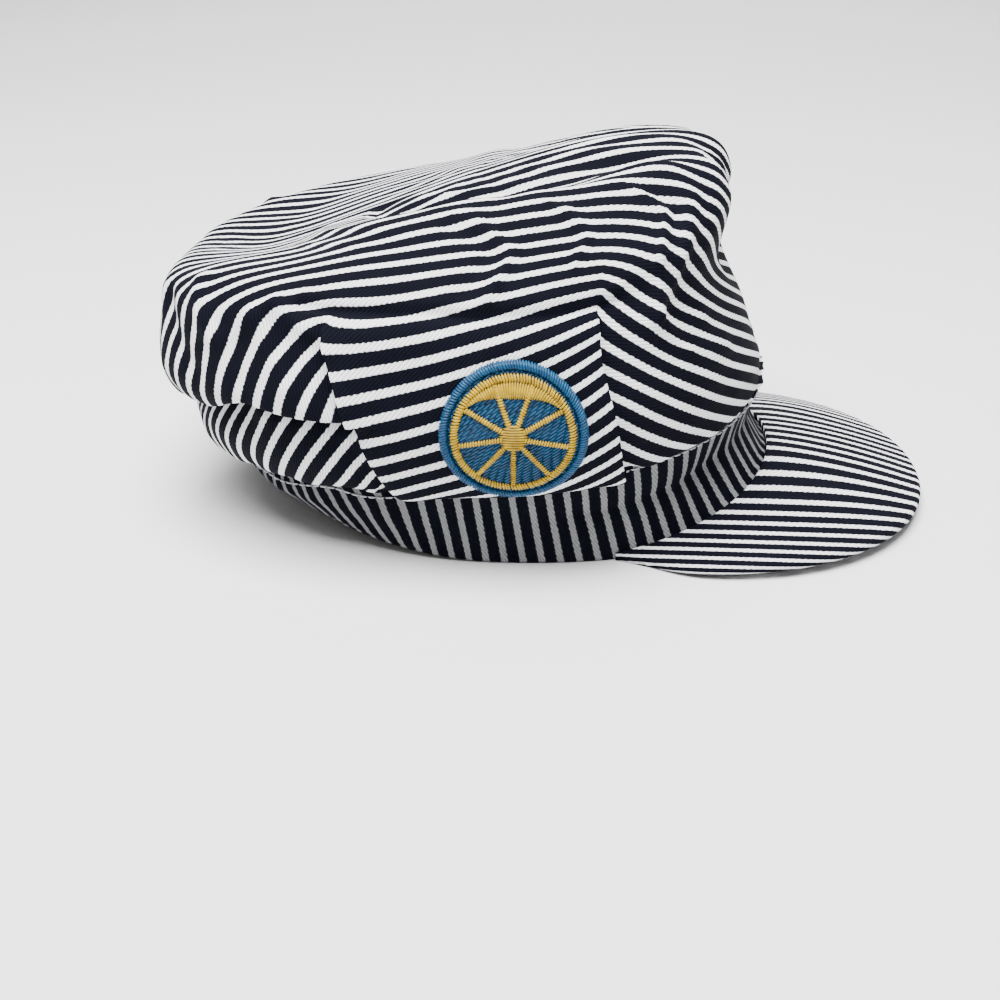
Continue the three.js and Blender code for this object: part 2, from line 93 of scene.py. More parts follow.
# Badge
BADGE_RADIUS = 22.5
BADGE_BORDER = 2.6
BADGE_THICKNESS = 1.1
BORDER_THICKNESS = 1.9
BADGE_ANGLE = -83
BADGE_LEVEL = 2.05
WHEEL_RADIUS = 19.1
WHEEL_RIM = 2.4
WHEEL_HUB = 4.2
WHEEL_SPOKE = 1.5
WHEEL_SPOKES = 9
WEIGHT_DEPTH = 5
WEIGHT_SPAN = 112
BORDER_THREADS = 158
BORDER_THREAD = 0.38        # radius, as are the other threads' sizes
GROUND_THREAD = 0.37
GROUND_GAP = 0.82
GROUND_STITCH = 3.8
GROUND_LEAN = 38            # degrees
RIM_THREADS = 126
SPOKE_GAP = 0.84
WEIGHT_THREADS = 40
WEIGHT_THREAD = 0.41
HUB_GAP = 0.8
SATIN_THREAD = 0.4
SATIN_ARCH = 0.55
THREAD_STRAY = 0.003        # radians

# Stitches along the seam
STITCH_DROP = 2.1           # below the seam
STITCH_PITCH = 3.1
STITCH_LENGTH = 2.75
STITCH_RADIUS = 0.32
STITCH_ARCH = 0.4

# Rings of the crown: reaches as shares of its half length and half width, heights of its top.
# From the side to the front or rear the height changes with the cosine to the power climb.
RING_COLUMNS = (
    "front", "rear", "near", "far", "square", "climb", "z_front", "z_near", "z_rear", "z_far",
)
RINGS = {
    "tuck": (0.755, 1.135, 0.945, 0.97, 2.4, 2, 0.400, 0.235, 0.190, 0.260),
    "belly": (0.700, 1.240, 1.020, 1.00, 2.5, 2, 0.540, 0.395, 0.365, 0.440),
    "flank": (0.600, 1.255, 0.965, 0.98, 2.55, 2, 0.730, 0.570, 0.525, 0.635),
    "shoulder": (0.630, 1.200, 0.845, 0.89, 2.55, 1.6, 0.905, 0.720, 0.660, 0.780),
    "roof": (0.520, 0.920, 0.500, 0.630, 2.6, 1.3, 0.995, 0.862, 0.680, 0.860),
    "crest": (0.215, 0.580, 0.245, 0.355, 2.2, 1.2, 0.985, 0.875, 0.775, 0.892),
}
CENTRE_FRONT = 0.06
CENTRE_Z = 0.885
TOP_LEVEL = len(RINGS) + 1

# Height of the band and bulge of its middle, as shares of its height, by angle from the front.
BAND_ANGLES = (0, 34, 60, 90, 118, 139, 157, 180)
BAND_HEIGHTS = (0.97, 1.03, 1.08, 0.90, 0.58, 0.33, 0.27, 0.30)
BAND_BULGES = (-0.20, -0.20, -0.03, 0.00, 0.06, 0.13, 0.13, 0.10)

# Pleats: the cloth left of a line laps over the other side of it.
PLEAT_COLUMNS = ("from_angle", "from_level", "to_angle", "to_level", "height", "fade", "lap", "recess")
PLEATS = {
    "front pleat": (64.5, 3.5, 62.5, 0, 3.0, 22, 2.2, 1.2),
    "rear pleat": (101, 0, 113, 3.3, 3.2, 24, 2.4, 1.8),
    "nape fold": (108, 2.1, 165, 2.25, 4.5, 20, 3.0, 4.5),
}

# Creases: ridges and grooves between two places; side is -1 near, 1 far, 0 both.
CREASE_COLUMNS = ("side", "from_angle", "from_level", "to_angle", "to_level", "width", "height")
CREASES = {
    "shoulder crease": (-1, 116, 3.85, 51, 3.5, 5, -1.8),
    "far shoulder crease": (1, 123, 3.7, 66, 3.9, 6, -1.5),
    "roof ridge": (-1, 128, 5.15, 43, 4.95, 8, 2.0),
    "roof hollow": (-1, 121, 5.75, 48, 5.6, 9, -3.2),
    "front corner": (0, 52, 3.1, 44, 5.0, 6, 1.8),
    "front gutter": (0, 44, 2.9, 38, 4.6, 8, -1.6),
    "brow dent": (0, 12, 4.6, 9, 3.2, 10, -4.0),
    "nape hollow": (0, 114, 1.85, 148, 1.95, 6, -2.5),
}

# Finer creases, which the solid crown leaves out.
FINE_CREASES = {
    "shoulder fold": (-1, 118, 3.75, 60, 3.55, 1.5, -1.3),
    "shoulder lip": (-1, 118, 3.93, 60, 3.73, 1.8, 0.8),
    "roof ripple rear": (-1, 143, 5.3, 100, 5.5, 4.0, -0.6),
    "roof ripple middle": (-1, 98, 5.5, 73, 5.35, 4.0, -0.6),
    "roof ripple front": (-1, 71, 5.35, 53, 5.1, 3.6, -0.7),
    "roof wave rear": (-1, 124, 4.8, 92, 4.85, 4.0, 0.7),
    "roof wave front": (-1, 92, 4.85, 66, 4.6, 3.6, 0.5),
    "upper roof wave": (-1, 110, 6.2, 60, 5.9, 3.4, 0.9),
    "roof kink": (-1, 92, 4.75, 89, 3.9, 2.2, 1.5),
    "roof kink lee": (-1, 96, 4.7, 93, 4.0, 2.6, -0.8),
    "second roof kink": (-1, 72, 4.8, 70, 4.2, 2.0, 1.3),
    "corner fold": (0, 55, 4.8, 51.5, 3.9, 2.2, 1.5),
    "lower corner fold": (0, 51.5, 3.9, 49.5, 3.1, 2.2, 1.5),
    "corner fold end": (0, 49.5, 3.1, 43, 2.5, 2.4, 1.2),
    "corner fold lee": (0, 51, 4.7, 47, 3.6, 3.0, -1.2),
    "corner wave": (0, 47, 2.9, 36, 2.7, 3.0, 0.9),
    "second corner wave": (0, 42, 2.45, 31, 2.2, 3.2, 0.9),
    "panel corner": (0, 112, 3.1, 122, 3.75, 2.4, 1.2),
    "rear corner": (0, 122, 3.75, 130, 3.2, 2.6, 1.0),
    "rear ridge": (0, 133, 3.1, 142, 4.0, 3.2, 1.6),
    "rear wave": (0, 119, 2.6, 126, 3.6, 3.0, 1.2),
    "rear hollow": (0, 138, 2.6, 152, 3.5, 4.0, -1.6),
    "nape recess": (0, 132, 1.95, 168, 1.75, 7.0, -3.5),
    "rear gutter": (0, 126, 2.5, 130, 3.3, 3.4, -1.0),
    "second rear ridge": (0, 150, 2.5, 156, 3.6, 4.0, 1.2),
    "third rear ridge": (0, 168, 2.6, 170, 3.7, 4.5, -1.2),
    "nape ridge": (0, 116, 1.2, 126, 0.4, 4.0, 1.0),
    "second nape ridge": (0, 132, 1.4, 142, 0.3, 4.0, -1.0),
    "third nape ridge": (0, 150, 1.3, 158, 0.3, 4.5, 1.0),
    "brow fold": (0, 21, 4.7, 15, 3.3, 3.0, -2.2),
    "brow ridge": (0, 12, 4.7, 9, 3.4, 4.0, 1.6),
    "front bag": (0, 30, 1.6, 6, 1.2, 6.0, 1.2),
    "rear pleat recess": (0, 104.5, 0.1, 112, 1.6, 4.0, -1.6),
    "front pleat recess": (0, 60.5, 0.9, 57, 0.1, 3.0, -1.8),
}

# The nape fold's line wanders by these levels, by angle.
NAPE_WAVE_ANGLES = (108, 117, 126, 139, 153, 166, 180)
NAPE_WAVE = (0.06, 0.12, 0.2, -0.12, -0.26, -0.14, 0.06)

# Direction of the stripes on the crown's side, by angle from the front: degrees below the way
# forward along the ring.
STRIPE_ANGLES = (0, 12, 25, 45, 62, 101, 114, 126, 150, 180)
STRIPE_FALLS = (24, 27, 33, 37, 38, -74, -66, -76, -84, -90)
LOWER_FALLS = (24, 27, 33, 39, 41, -36, -36, -42, -64, -90)     # below the nape fold
PANEL_ANGLES = (62, 90, 104, 114)                               # between the two pleats
PANEL_FALLS = (-32, -28, -17, -8)

STRIPE_PITCH = 5.95
WHITE_SHARE = 0.36
STRIPE_BLUR = 0.14          # half the width over which a stripe ends
WALE_PITCH = 1.95
WALE_LEAN = 1.9
WALE_STAIR = 0.18           # how far a wale carries a stripe's edge along
LINING_WALE = 1.1
UV_STEP = 100               # millimetres of cloth for each unit of the UV map
FIT_STEPS = 1400            # steps of the cloth's flattening
PLEAT_CUT = 1e-4            # weight left between the two sides of a cut in the cloth
NAPE_CUT = 1e-3


def table(columns, rows):
    """Rows of a table as dictionaries by column name."""
    return [dict(zip(columns, row)) for row in rows.values()]


def smooth(low, high, value):
    """Eased step: 0 below low, 1 above high."""
    share = np.clip((value - low) / (high - low), 0, 1)
    return share * share * (3 - 2 * share)


def unit(vectors):
    """Vectors at length 1."""
    return vectors / np.maximum(np.linalg.norm(vectors, axis=-1, keepdims=True), 1e-9)


def fold_angle(turn):
    """Degrees from the front, the same on both sides of the cap."""
    return np.degrees(np.abs(np.arctan2(np.sin(turn), np.cos(turn))))


def eased(angles, values, angle):
    """Values of a table, eased between its angles."""
    result = np.full(np.shape(angle), float(values[0]))
    for low, high, before, after in zip(angles, angles[1:], values, values[1:]):
        result = result + (after - before) * smooth(low, high, angle)
    return result


def oval(turn, front, rear, near, far, square_front, square_rear):
    """Superellipse |x/a|^n + |y/b|^n = 1 by its direction, with its own reach to each side."""
    c, s = np.cos(turn), np.sin(turn)
    square = np.where(c > 0, square_front, square_rear)
    radius = (np.abs(c) ** square + np.abs(s) ** square) ** (-1 / square)
    return np.where(c > 0, front, rear) * c * radius, np.where(s > 0, far, near) * s * radius


def band_plan(turn, share, inset=0):
    """Plan of the band at a share of its height: the lower edge's oval blended to the seam's."""
    half = BAND_HALF_WIDTH + (SEAM_HALF_WIDTH - BAND_HALF_WIDTH) * share - inset
    front = BAND_FRONT + (SEAM_FRONT - BAND_FRONT) * share - inset
    rear = BAND_REAR + (SEAM_REAR - BAND_REAR) * share - inset
    return oval(turn, front, rear, half, half, BAND_SQUARENESS, NAPE_ROUNDNESS)


def front_arch(turn):
    """Rise of the lower edge over the forehead, 1 in the middle to 0 at the visor's corners."""
    x, y = band_plan(turn, 0)
    return np.where(x > 0, np.maximum(0, 1 - (y / VISOR_HALF_CHORD) ** 2), 0)


def lower_edge(turn):
    """Height of the band's lower edge: a parabola in front, an eased rise at the nape."""
    return FRONT_ARCH * front_arch(turn) + NAPE_LIFT * smooth(NAPE_START, 180, fold_angle(turn))


def band_point(turn, share, inset=0):
    """Outer face of the band: its plan bulged by 1 - |2 share - 1|^1.25 between both edges."""
    x, y = band_plan(turn, share, inset)
    angle = fold_angle(turn)
    profile = 1 - np.abs(2 * share - 1) ** 1.25
    ripple = 0.5 * np.sin(turn * 23 + 3 * share) + 0.35 * np.sin(turn * 41 - 4 * share + 1)
    bulge = BAND_HEIGHT * eased(BAND_ANGLES, BAND_BULGES, angle) * profile + ripple * profile * 0.6
    kink = 2.4 * smooth(24, 50, angle) * smooth(84, 62, angle) * np.exp(-np.abs(share - 0.54) * 7)
    grown = 1 + (bulge - kink) / np.hypot(x, y)
    z = lower_edge(turn) + BAND_HEIGHT * eased(BAND_ANGLES, BAND_HEIGHTS, angle) * share
    return np.stack([x * grown, y * grown, z + 0 * grown], -1)


def ring_points(turn):
    """Rings -1 to 8 of the crown at each turn: the seam, the table's rings, the middle of the top
    and, past it, the last ring on the other side."""
    c, s = np.cos(turn), np.sin(turn)
    seam = band_point(turn, 1.0) + (0, 0, CLEARANCE)
    rings = [seam]
    for row in table(RING_COLUMNS, RINGS):
        x, y = oval(
            turn,
            row["front"] * CROWN_HALF_LENGTH + CROWN_SET_BACK,
            row["rear"] * CROWN_HALF_LENGTH - CROWN_SET_BACK,
            row["near"] * CROWN_HALF_WIDTH,
            row["far"] * CROWN_HALF_WIDTH,
            row["square"],
            row["square"],
        )
        flank = np.where(s > 0, row["z_far"], row["z_near"])
        z = flank + (np.where(c > 0, row["z_front"], row["z_rear"]) - flank) * np.abs(c) ** row["climb"]
        rings.append(np.stack([x, y, z * CROWN_TOP], -1))
    middle = (CENTRE_FRONT * CROWN_HALF_LENGTH - CROWN_SET_BACK, 0, CENTRE_Z * CROWN_TOP)
    rings.append(np.broadcast_to(middle, seam.shape))
    return [2 * rings[0] - rings[1], *rings]


def plain_crown(turn, level):
    """Smooth crown before its folds: a Catmull-Rom curve through the rings at each turn."""
    turn, level = np.broadcast_arrays(turn, level)
    rings = np.stack([*ring_points(turn), ring_points(turn + np.pi)[TOP_LEVEL]])
    at = np.clip(np.floor(level), 0, TOP_LEVEL - 1).astype(int)
    f = (level - at)[..., None]
    weights = (
        -f + 2 * f**2 - f**3,
        2 - 5 * f**2 + 3 * f**3,
        f + 4 * f**2 - 3 * f**3,
        -(f**2) + f**3,
    )
    total = np.zeros((*turn.shape, 3))
    for step, weight in enumerate(weights):
        picked = np.take_along_axis(rings, (at + step)[None, ..., None], 0)[0]
        total += picked * weight / 2
    return total


def crown_frame(turn, level):
    """Tangents of the plain crown, for 1 mm of cloth round it and up it, and its outward normal."""
    flat = np.clip(level, 0.05, TOP_LEVEL - 0.15)
    round_it = (plain_crown(turn + 0.03, flat) - plain_crown(turn - 0.03, flat)) / 0.06
    up_it = (plain_crown(turn, flat + 0.05) - plain_crown(turn, flat - 0.05)) / 0.1
    return round_it, up_it, unit(np.cross(round_it, up_it))


LEVEL_STEP = 0.2 * CROWN_HALF_LENGTH        # cloth between two levels
SIDE_RADIUS = 0.95 * CROWN_HALF_LENGTH      # of the crown's side, on the flat map


def ring_radius(level):
    """Radius by which an angle becomes millimetres of cloth at a level."""
    return SIDE_RADIUS * np.minimum(1, (TOP_LEVEL - level) / 2.6)


def cloth_place(angle, level):
    """Place on the cloth in millimetres, on a flat map of one side of the cap."""
    return np.stack([np.radians(angle) * ring_radius(level), level * LEVEL_STEP], -1)


def fold_line(row):
    """Ends of a fold's line on the flat map."""
    start = cloth_place(row["from_angle"], float(row["from_level"]))
    return start, cloth_place(row["to_angle"], float(row["to_level"])) - start


def crease_heights(rows, turn, level):
    """Sum of ridges height * exp(-(distance from the line / width)^2)."""
    place = cloth_place(fold_angle(turn), level)
    height = np.zeros(place.shape[:-1])
    for row in rows:
        start, line = fold_line(row)
        along = np.clip((place - start) @ line / (line @ line), 0, 1)
        apart = np.linalg.norm(place - start - along[..., None] * line, axis=-1)
        mine = 1 if row["side"] == 0 else smooth(-0.02, 0.02, np.sin(turn) * row["side"])
        height += mine * row["height"] * np.exp(-((apart / row["width"]) ** 2))
    return height


def pleat_reach(row, turn, level):
    """Distance from a pleat's line, positive on its lapping side, and how much of it is there."""
    angle = fold_angle(turn)
    place = cloth_place(angle, level)
    start, line = fold_line(row)
    left = np.array([-line[1], line[0]]) / np.linalg.norm(line)
    along = (place - start) @ line / (line @ line)
    window = smooth(-0.25, 0.15, along) * smooth(1.2, 0.95, along)
    return (place - start) @ left, window, left


def solid_crown(turn, level):
    """Crown as the solid model has it: pleats as soft steps, and its creases."""
    normal = crown_frame(turn, level)[2]
    height = crease_heights(table(CREASE_COLUMNS, CREASES), turn, level)
    for row in table(PLEAT_COLUMNS, PLEATS):
        reach, window, _ = pleat_reach(row, turn, level)
        fade = np.exp(-np.maximum(reach, 0) / row["fade"])
        height += row["height"] * smooth(-2, 2, reach) * fade * window
    return plain_crown(turn, level) + normal * (height * smooth(0, 0.6, level))[..., None]


badge_turn = np.radians(BADGE_ANGLE)


def lapped_reach(name, row, turn, level):
    """pleat_reach for the finer crown, where the nape fold wanders and pleats end sooner."""
    angle = fold_angle(turn)
    if name == "nape fold":
        level = level - eased(NAPE_WAVE_ANGLES, NAPE_WAVE, angle)
    reach, _, left = pleat_reach(row, turn, level)
    start, line = fold_line(row)
    along = (cloth_place(angle, level) - start) @ line / (line @ line)
    early, late = (0.1, 0.3) if name == "nape fold" else (0.06, 0.12)
    return reach, smooth(-early, 0.1, along) * smooth(1 + late, 0.95, along), left


def small_waves(angle, level):
    """Small waves all over the cloth, and the pucker along the seam: sines of the place on the
    cloth, warped by slower sines so that they don't look regular."""
    around = np.radians(angle) * SIDE_RADIUS
    rise = level * LEVEL_STEP
    warp = 3.0 * np.sin(around / 17 + rise / 23) + 2.0 * np.sin(rise / 11 - around / 31)
    slow = np.sin((rise - 0.3 * around) / 14 + warp / 9)
    waves = 0.32 * np.sin((around + 0.6 * rise + warp) / 6.5) * slow
    rear = smooth(60, 20, np.abs(angle - 120) + 0 * rise)
    waves += 0.22 * np.sin((rise - 0.35 * around + warp) / 4.2) * rear
    pucker = np.exp(-rise / 5) * (0.5 * np.sin(around / 2.1 + warp / 3) + 0.3 * np.sin(around / 3.7))
    return waves, pucker


def crown_surface(turn, level):
    """Crown with its lapped pleats and fine creases. At a pleat the cloth steps up by its height
    and also slides by -lap * tanh(w / 0.7) * exp(-|w| / 5) across the line, w being the distance
    from it, so that the upper cloth hangs over the lower, which sinks by its recess there."""
    round_it, up_it, normal = crown_frame(turn, level)
    side = np.where(np.sin(turn) > 0, 1.0, -1.0)[..., None]
    per_round = round_it * side / ring_radius(level)[..., None]
    per_up = up_it / LEVEL_STEP
    height = crease_heights(table(CREASE_COLUMNS, CREASES), turn, level)
    slide = np.zeros((*np.shape(height), 3))
    for name, row in zip(PLEATS, table(PLEAT_COLUMNS, PLEATS)):
        reach, window, left = lapped_reach(name, row, turn, level)
        fade = np.exp(-np.maximum(reach, 0) / row["fade"])
        height += row["height"] * smooth(-0.6, 0.6, reach) * fade * window
        height -= row["recess"] * np.exp(-(((reach + 3.5) / 3.5) ** 2)) * window
        push = -row["lap"] * np.tanh(reach / 0.7) * np.exp(-np.abs(reach) / 5) * window
        slide += push[..., None] * (left[0] * per_round + left[1] * per_up)

    from_badge = np.arctan2(np.sin(turn - badge_turn), np.cos(turn - badge_turn))
    from_badge = np.hypot(SIDE_RADIUS * from_badge, (level - BADGE_LEVEL) * LEVEL_STEP)
    free = smooth(BADGE_RADIUS + 1, BADGE_RADIUS + 16, from_badge)
    waves, pucker = small_waves(fold_angle(turn), level)
    fine = crease_heights(table(CREASE_COLUMNS, FINE_CREASES), turn, level) + waves
    fine *= smooth(6.8, 6.0, level)
    roll = 0.8 * np.exp(-(((level * LEVEL_STEP - 2.2) / 1.6) ** 2))
    height = height * smooth(0, 0.6, level)
    height += (fine * free + pucker * (0.35 + 0.65 * free)) * smooth(0, 0.12, level) + roll
    slide *= smooth(0, 0.25, level)[..., None]
    return plain_crown(turn, level) + normal * height[..., None] + slide


def spaced(density, low, high, count):
    """Places from low to high, closer together where density is higher."""
    place = np.linspace(low, high, 4001)
    filled = np.cumsum(density(place))
    filled = (filled - filled[0]) / (filled[-1] - filled[0])
    return np.interp(np.linspace(0, 1, count), filled, place)


def pleat_angle(name, level):
    """Angle of a pleat's line at a level, held past its ends."""
    row = dict(zip(PLEAT_COLUMNS, PLEATS[name]))
    ends = sorted([(row["from_level"], row["from_angle"]), (row["to_level"], row["to_angle"])])
    return np.interp(level, [end[0] for end in ends], [end[1] for end in ends])


CROWN_ROWS = 140
PART_COLUMNS = (110, 150, 80, 150)      # near side, front, far side, nape
PART_GRADING = 0.85


def crown_grid():
    """Turns and levels of the crown's mesh. Its columns follow the pleats' lines, and crowd there:
    between two lines a share u is moved to u - k sin(2 pi u) / 2 pi."""

    def density(level):
        return 1 + 2.2 * np.exp(-((level / 0.14) ** 2)) + 1.6 * np.exp(-(((level - 2.3) / 0.35) ** 2))

    levels = spaced(density, 0, TOP_LEVEL, CROWN_ROWS + 1)[:-1]
    front, rear = pleat_angle("front pleat", levels), pleat_angle("rear pleat", levels)
    anchors = [-rear, -front, front, rear, 360 - rear]
    columns = []
    for start, end, count in zip(anchors, anchors[1:], PART_COLUMNS):
        share = np.arange(count) / count
        share = share - PART_GRADING * np.sin(2 * np.pi * share) / (2 * np.pi)
        columns.append(start[:, None] + (end - start)[:, None] * share)
    turns = np.radians(np.concatenate(columns, 1))
    return turns, np.broadcast_to(levels[:, None], turns.shape)


def nape_level(angle):
    """Level of the nape fold's line at an angle."""
    row = dict(zip(PLEAT_COLUMNS, PLEATS["nape fold"]))
    ends = (row["from_angle"], row["to_angle"]), (row["from_level"], row["to_level"])
    return np.interp(angle, *ends) + eased(NAPE_WAVE_ANGLES, NAPE_WAVE, angle)


def stripe_direction(turn, level):
    """Way the stripes run on the crown: along X on the top, at the table's fall on the side."""
    round_it, up_it, normal = crown_frame(turn, level)
    angle = fold_angle(turn)
    side = np.where(np.sin(turn) > 1e-6, -1.0, 1.0)[..., None]
    upper = smooth(-0.1, 0.1, level - nape_level(angle))
    fall = eased(STRIPE_ANGLES, LOWER_FALLS, angle) * (1 - upper)
    fall = fall + eased(STRIPE_ANGLES, STRIPE_FALLS, angle) * upper
    starts = np.cumsum((0, *PART_COLUMNS))
    for part in (0, 2):
        columns = slice(starts[part], starts[part + 1])
        fall[:, columns] = eased(PANEL_ANGLES, PANEL_FALLS, angle[:, columns])
    fall = np.radians(fall)[..., None]
    on_side = np.cos(fall) * side * unit(round_it) - np.sin(fall) * unit(up_it)
    forward = np.array([1.0, 0, 0])
    on_top = forward - normal * (normal @ forward)[..., None]
    rear = smooth(100, 114, angle)
    top = smooth(3.3 + 0.1 * rear, 4.4 - 0.5 * rear, level)[..., None]
    return unit(on_side * (1 - top) + on_top * top), normal


def cloth_map(points, middle, turn, level):
    """Millimetres along and across the stripes at each point, so that the cloth is stretched as
    little as it can be: the least squares fit of the differences between neighbours to their
    distances along the stripes' direction and across it, by conjugate gradients. The cloth is
    cut at the pleats and the nape fold, where one side of it goes under the other, and low in
    the middle of the front."""
    rows, columns = turn.shape
    along, normal = stripe_direction(turn, level)
    across = np.cross(normal, along)

    def steps(other_points, other_along, other_across):
        move = other_points - points
        flows = [unit(along + other_along), unit(across + other_across)]
        return np.stack([(move * flow).sum(-1) for flow in flows], -1), np.linalg.norm(move, axis=-1)

    def beside(values):
        return np.roll(values, -1, 1)

    def above(values):
        return np.concatenate([values[1:], values[-1:]], 0)

    right, right_length = steps(beside(points), beside(along), beside(across))
    up, up_length = steps(above(points), above(along), above(across))
    right_weight = np.clip(up_length / np.maximum(right_length, 1e-6), 0.02, 50)
    right_weight[-1] = right_weight[-2]
    up_weight = np.clip(right_length / np.maximum(up_length, 1e-6), 0.02, 50)
    up_weight[-1] = 0
    starts = np.cumsum((0, *PART_COLUMNS[:-1]))
    for start, name in zip(starts, ("rear pleat", "front pleat", "front pleat", "rear pleat")):
        end = max(PLEATS[name][1], PLEATS[name][3])
        right_weight[:, start - 1] *= smooth(end - 0.2, end + 0.3, level[:, 0]) + PLEAT_CUT
    front_middle = PART_COLUMNS[0] + PART_COLUMNS[1] // 2
    right_weight[:, front_middle] *= smooth(3.6, 4.4, level[:, 0]) + PLEAT_CUT
    over = level - nape_level(fold_angle(turn))
    crossing = (over < 0) & (above(over) >= 0) & (fold_angle(turn) > 112)
    up_weight[crossing] *= NAPE_CUT
    last = middle - points[-1]
    crest = np.stack([(last * along[-1]).sum(-1), (last * across[-1]).sum(-1)], -1)

    def spread(grid, pole):
        """Sum over each point's neighbours of weight times difference."""
        right_pull = right_weight[..., None] * (beside(grid) - grid)
        up_pull = up_weight[..., None] * (above(grid) - grid)
        pole_pull = pole - grid[-1]
        return gathered(right_pull, up_pull, pole_pull)

    def gathered(right_pull, up_pull, pole_pull):
        total = np.roll(right_pull, 1, 1) - right_pull - up_pull
        total[1:] += up_pull[:-1]
        total[-1] -= pole_pull
        return np.concatenate([total.reshape(-1, 2), pole_pull.sum(0)[None]])

    def applied(values):
        return spread(values[:-1].reshape(rows, columns, 2), values[-1])

    goal = gathered(right_weight[..., None] * right, up_weight[..., None] * up, crest)
    weight = right_weight + np.roll(right_weight, 1, 1) + up_weight
    weight[1:] += up_weight[:-1]
    weight[-1] += 1
    weight = np.append(weight.reshape(-1), columns)[:, None]
    flat = np.concatenate([points[..., :2].reshape(-1, 2), middle[None, :2]])
    rest = goal - applied(flat)
    step = rest / weight
    search = step.copy()
    size = (rest * step).sum(0)
    for _ in range(FIT_STEPS):
        turned = applied(search)
        share = size / (search * turned).sum(0)
        flat = flat + share * search
        rest = rest - share * turned
        step = rest / weight
        new_size = (rest * step).sum(0)
        search = step + new_size / size * search
        size = new_size
    return flat


def grid_faces(rows, columns, wrap=True, start=0):
    """Quads of a grid of points, row after row, facing out where rows go up and columns turn left."""
    across = columns if wrap else columns - 1
    row, column = np.meshgrid(np.arange(rows - 1), np.arange(across), indexing="ij")
    beside = (column + 1) % columns
    low, high = row * columns, (row + 1) * columns
    quads = [low + column, low + beside, high + beside, high + column]
    return np.stack(quads, -1).reshape(-1, 4) + start


visor_low, visor_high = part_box("visor")
FRAME_SHIFT = np.array([
    visor_high.x * 1000 - BAND_FRONT - VISOR_REACH,
    (visor_low.y + visor_high.y) * 500,
    0,
])


def mesh_piece(name, points, faces, cloth=None, materials=(), second=None):
    """Mesh object from points in millimetres and lists of faces. cloth gives each point's place on
    the cloth, kept as a UV map; second tells which faces take the second material."""
    mesh = bpy.data.meshes.new(name)
    mesh.from_pydata(((points + FRAME_SHIFT) / 1000).tolist(), [], faces)
    mesh.shade_smooth()
    if cloth is not None:
        corners = np.zeros(len(mesh.loops), np.int32)
        mesh.loops.foreach_get("vertex_index", corners)
        layer = mesh.uv_layers.new(name="cloth")
        layer.uv.foreach_set("vector", (cloth[corners] / UV_STEP).astype(np.float32).reshape(-1))
    piece = bpy.data.objects.new(name, mesh)
    bpy.context.scene.collection.objects.link(piece)
    for material in materials:
        mesh.materials.append(material)
    if second is not None:
        mesh.polygons.foreach_set("material_index", np.asarray(second, np.int32))
    return piece


def dress(piece, slot, *nodes):
    """Puts a finished piece on the cap in place of its solids."""
    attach(piece, "root")
    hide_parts(*nodes)


def inner_wall(turn, level, outer):
    """Crown's inner face: a cloth's thickness inside the lowest place of the outer one nearby."""
    plain, normal = plain_crown(turn, level), crown_frame(turn, level)[2]
    height = ((outer - plain) * normal).sum(-1)
    for reach in (1, 2, 4, 8, 8):
        height = np.minimum(height, np.minimum(np.roll(height, reach, 1), np.roll(height, -reach, 1)))
    for reach in (1, 2, 4):
        above = np.concatenate([height[reach:], height[-reach:]])
        below = np.concatenate([height[:reach], height[:-reach]])
        height = np.minimum(height, np.minimum(above, below))
    inward = np.stack([normal[..., 0], normal[..., 1], normal[..., 2] * smooth(0, 0.6, level)], -1)
    return plain + normal * (height * smooth(0, 0.3, level))[..., None] - unit(inward) * CLOTH


def crown_piece(paint, inside_paint):
    """Crown: outer wall, plain inner wall a cloth's thickness inside, both closed at the top."""
    turn, level = crown_grid()
    rows, columns = turn.shape
    outer = crown_surface(turn, level)
    middle = plain_crown(np.zeros(1), np.full(1, float(TOP_LEVEL)))[0]
    flat = cloth_map(outer, middle, turn, level)

    inner_rows = np.arange(0, rows, 4)
    inner = inner_wall(turn, level, outer)[inner_rows]
    top_places = middle[None], middle[None] - (0, 0, CLOTH)
    points = np.concatenate([outer.reshape(-1, 3), top_places[0], inner.reshape(-1, 3), top_places[1]])
    inner_cloth = flat[:-1].reshape(rows, columns, 2)[inner_rows].reshape(-1, 2)
    cloth = np.concatenate([flat, inner_cloth, flat[-1:]])

    pole = rows * columns
    inside = pole + 1
    column = np.arange(columns)
    beside = (column + 1) % columns
    top = (rows - 1) * columns
    inner_top = inside + (len(inner_rows) - 1) * columns
    wall = grid_faces(rows, columns)
    rim = np.stack([inside + column, inside + beside, beside, column], -1)
    back = grid_faces(len(inner_rows), columns, start=inside)[:, ::-1]
    cap = np.stack([top + column, top + beside, np.full(columns, pole)], -1)
    under = np.stack([inner_top + beside, inner_top + column, np.full(columns, len(points) - 1)], -1)
    faces = [*wall.tolist(), *cap.tolist(), *rim.tolist(), *back.tolist(), *under.tolist()]
    second = np.zeros(len(faces), int)
    second[len(wall) + len(cap) + len(rim):] = 1
    piece = mesh_piece("crown_cloth", points, faces, cloth, (paint, inside_paint), second)
    dress(piece, "striped_twill", "crown")


def arc_length(points):
    """Distance walked along the last-but-one axis of points."""
    steps = np.linalg.norm(np.diff(points, axis=-2), axis=-1)
    return np.concatenate([np.zeros((*steps.shape[:-1], 1)), np.cumsum(steps, -1)], -1)


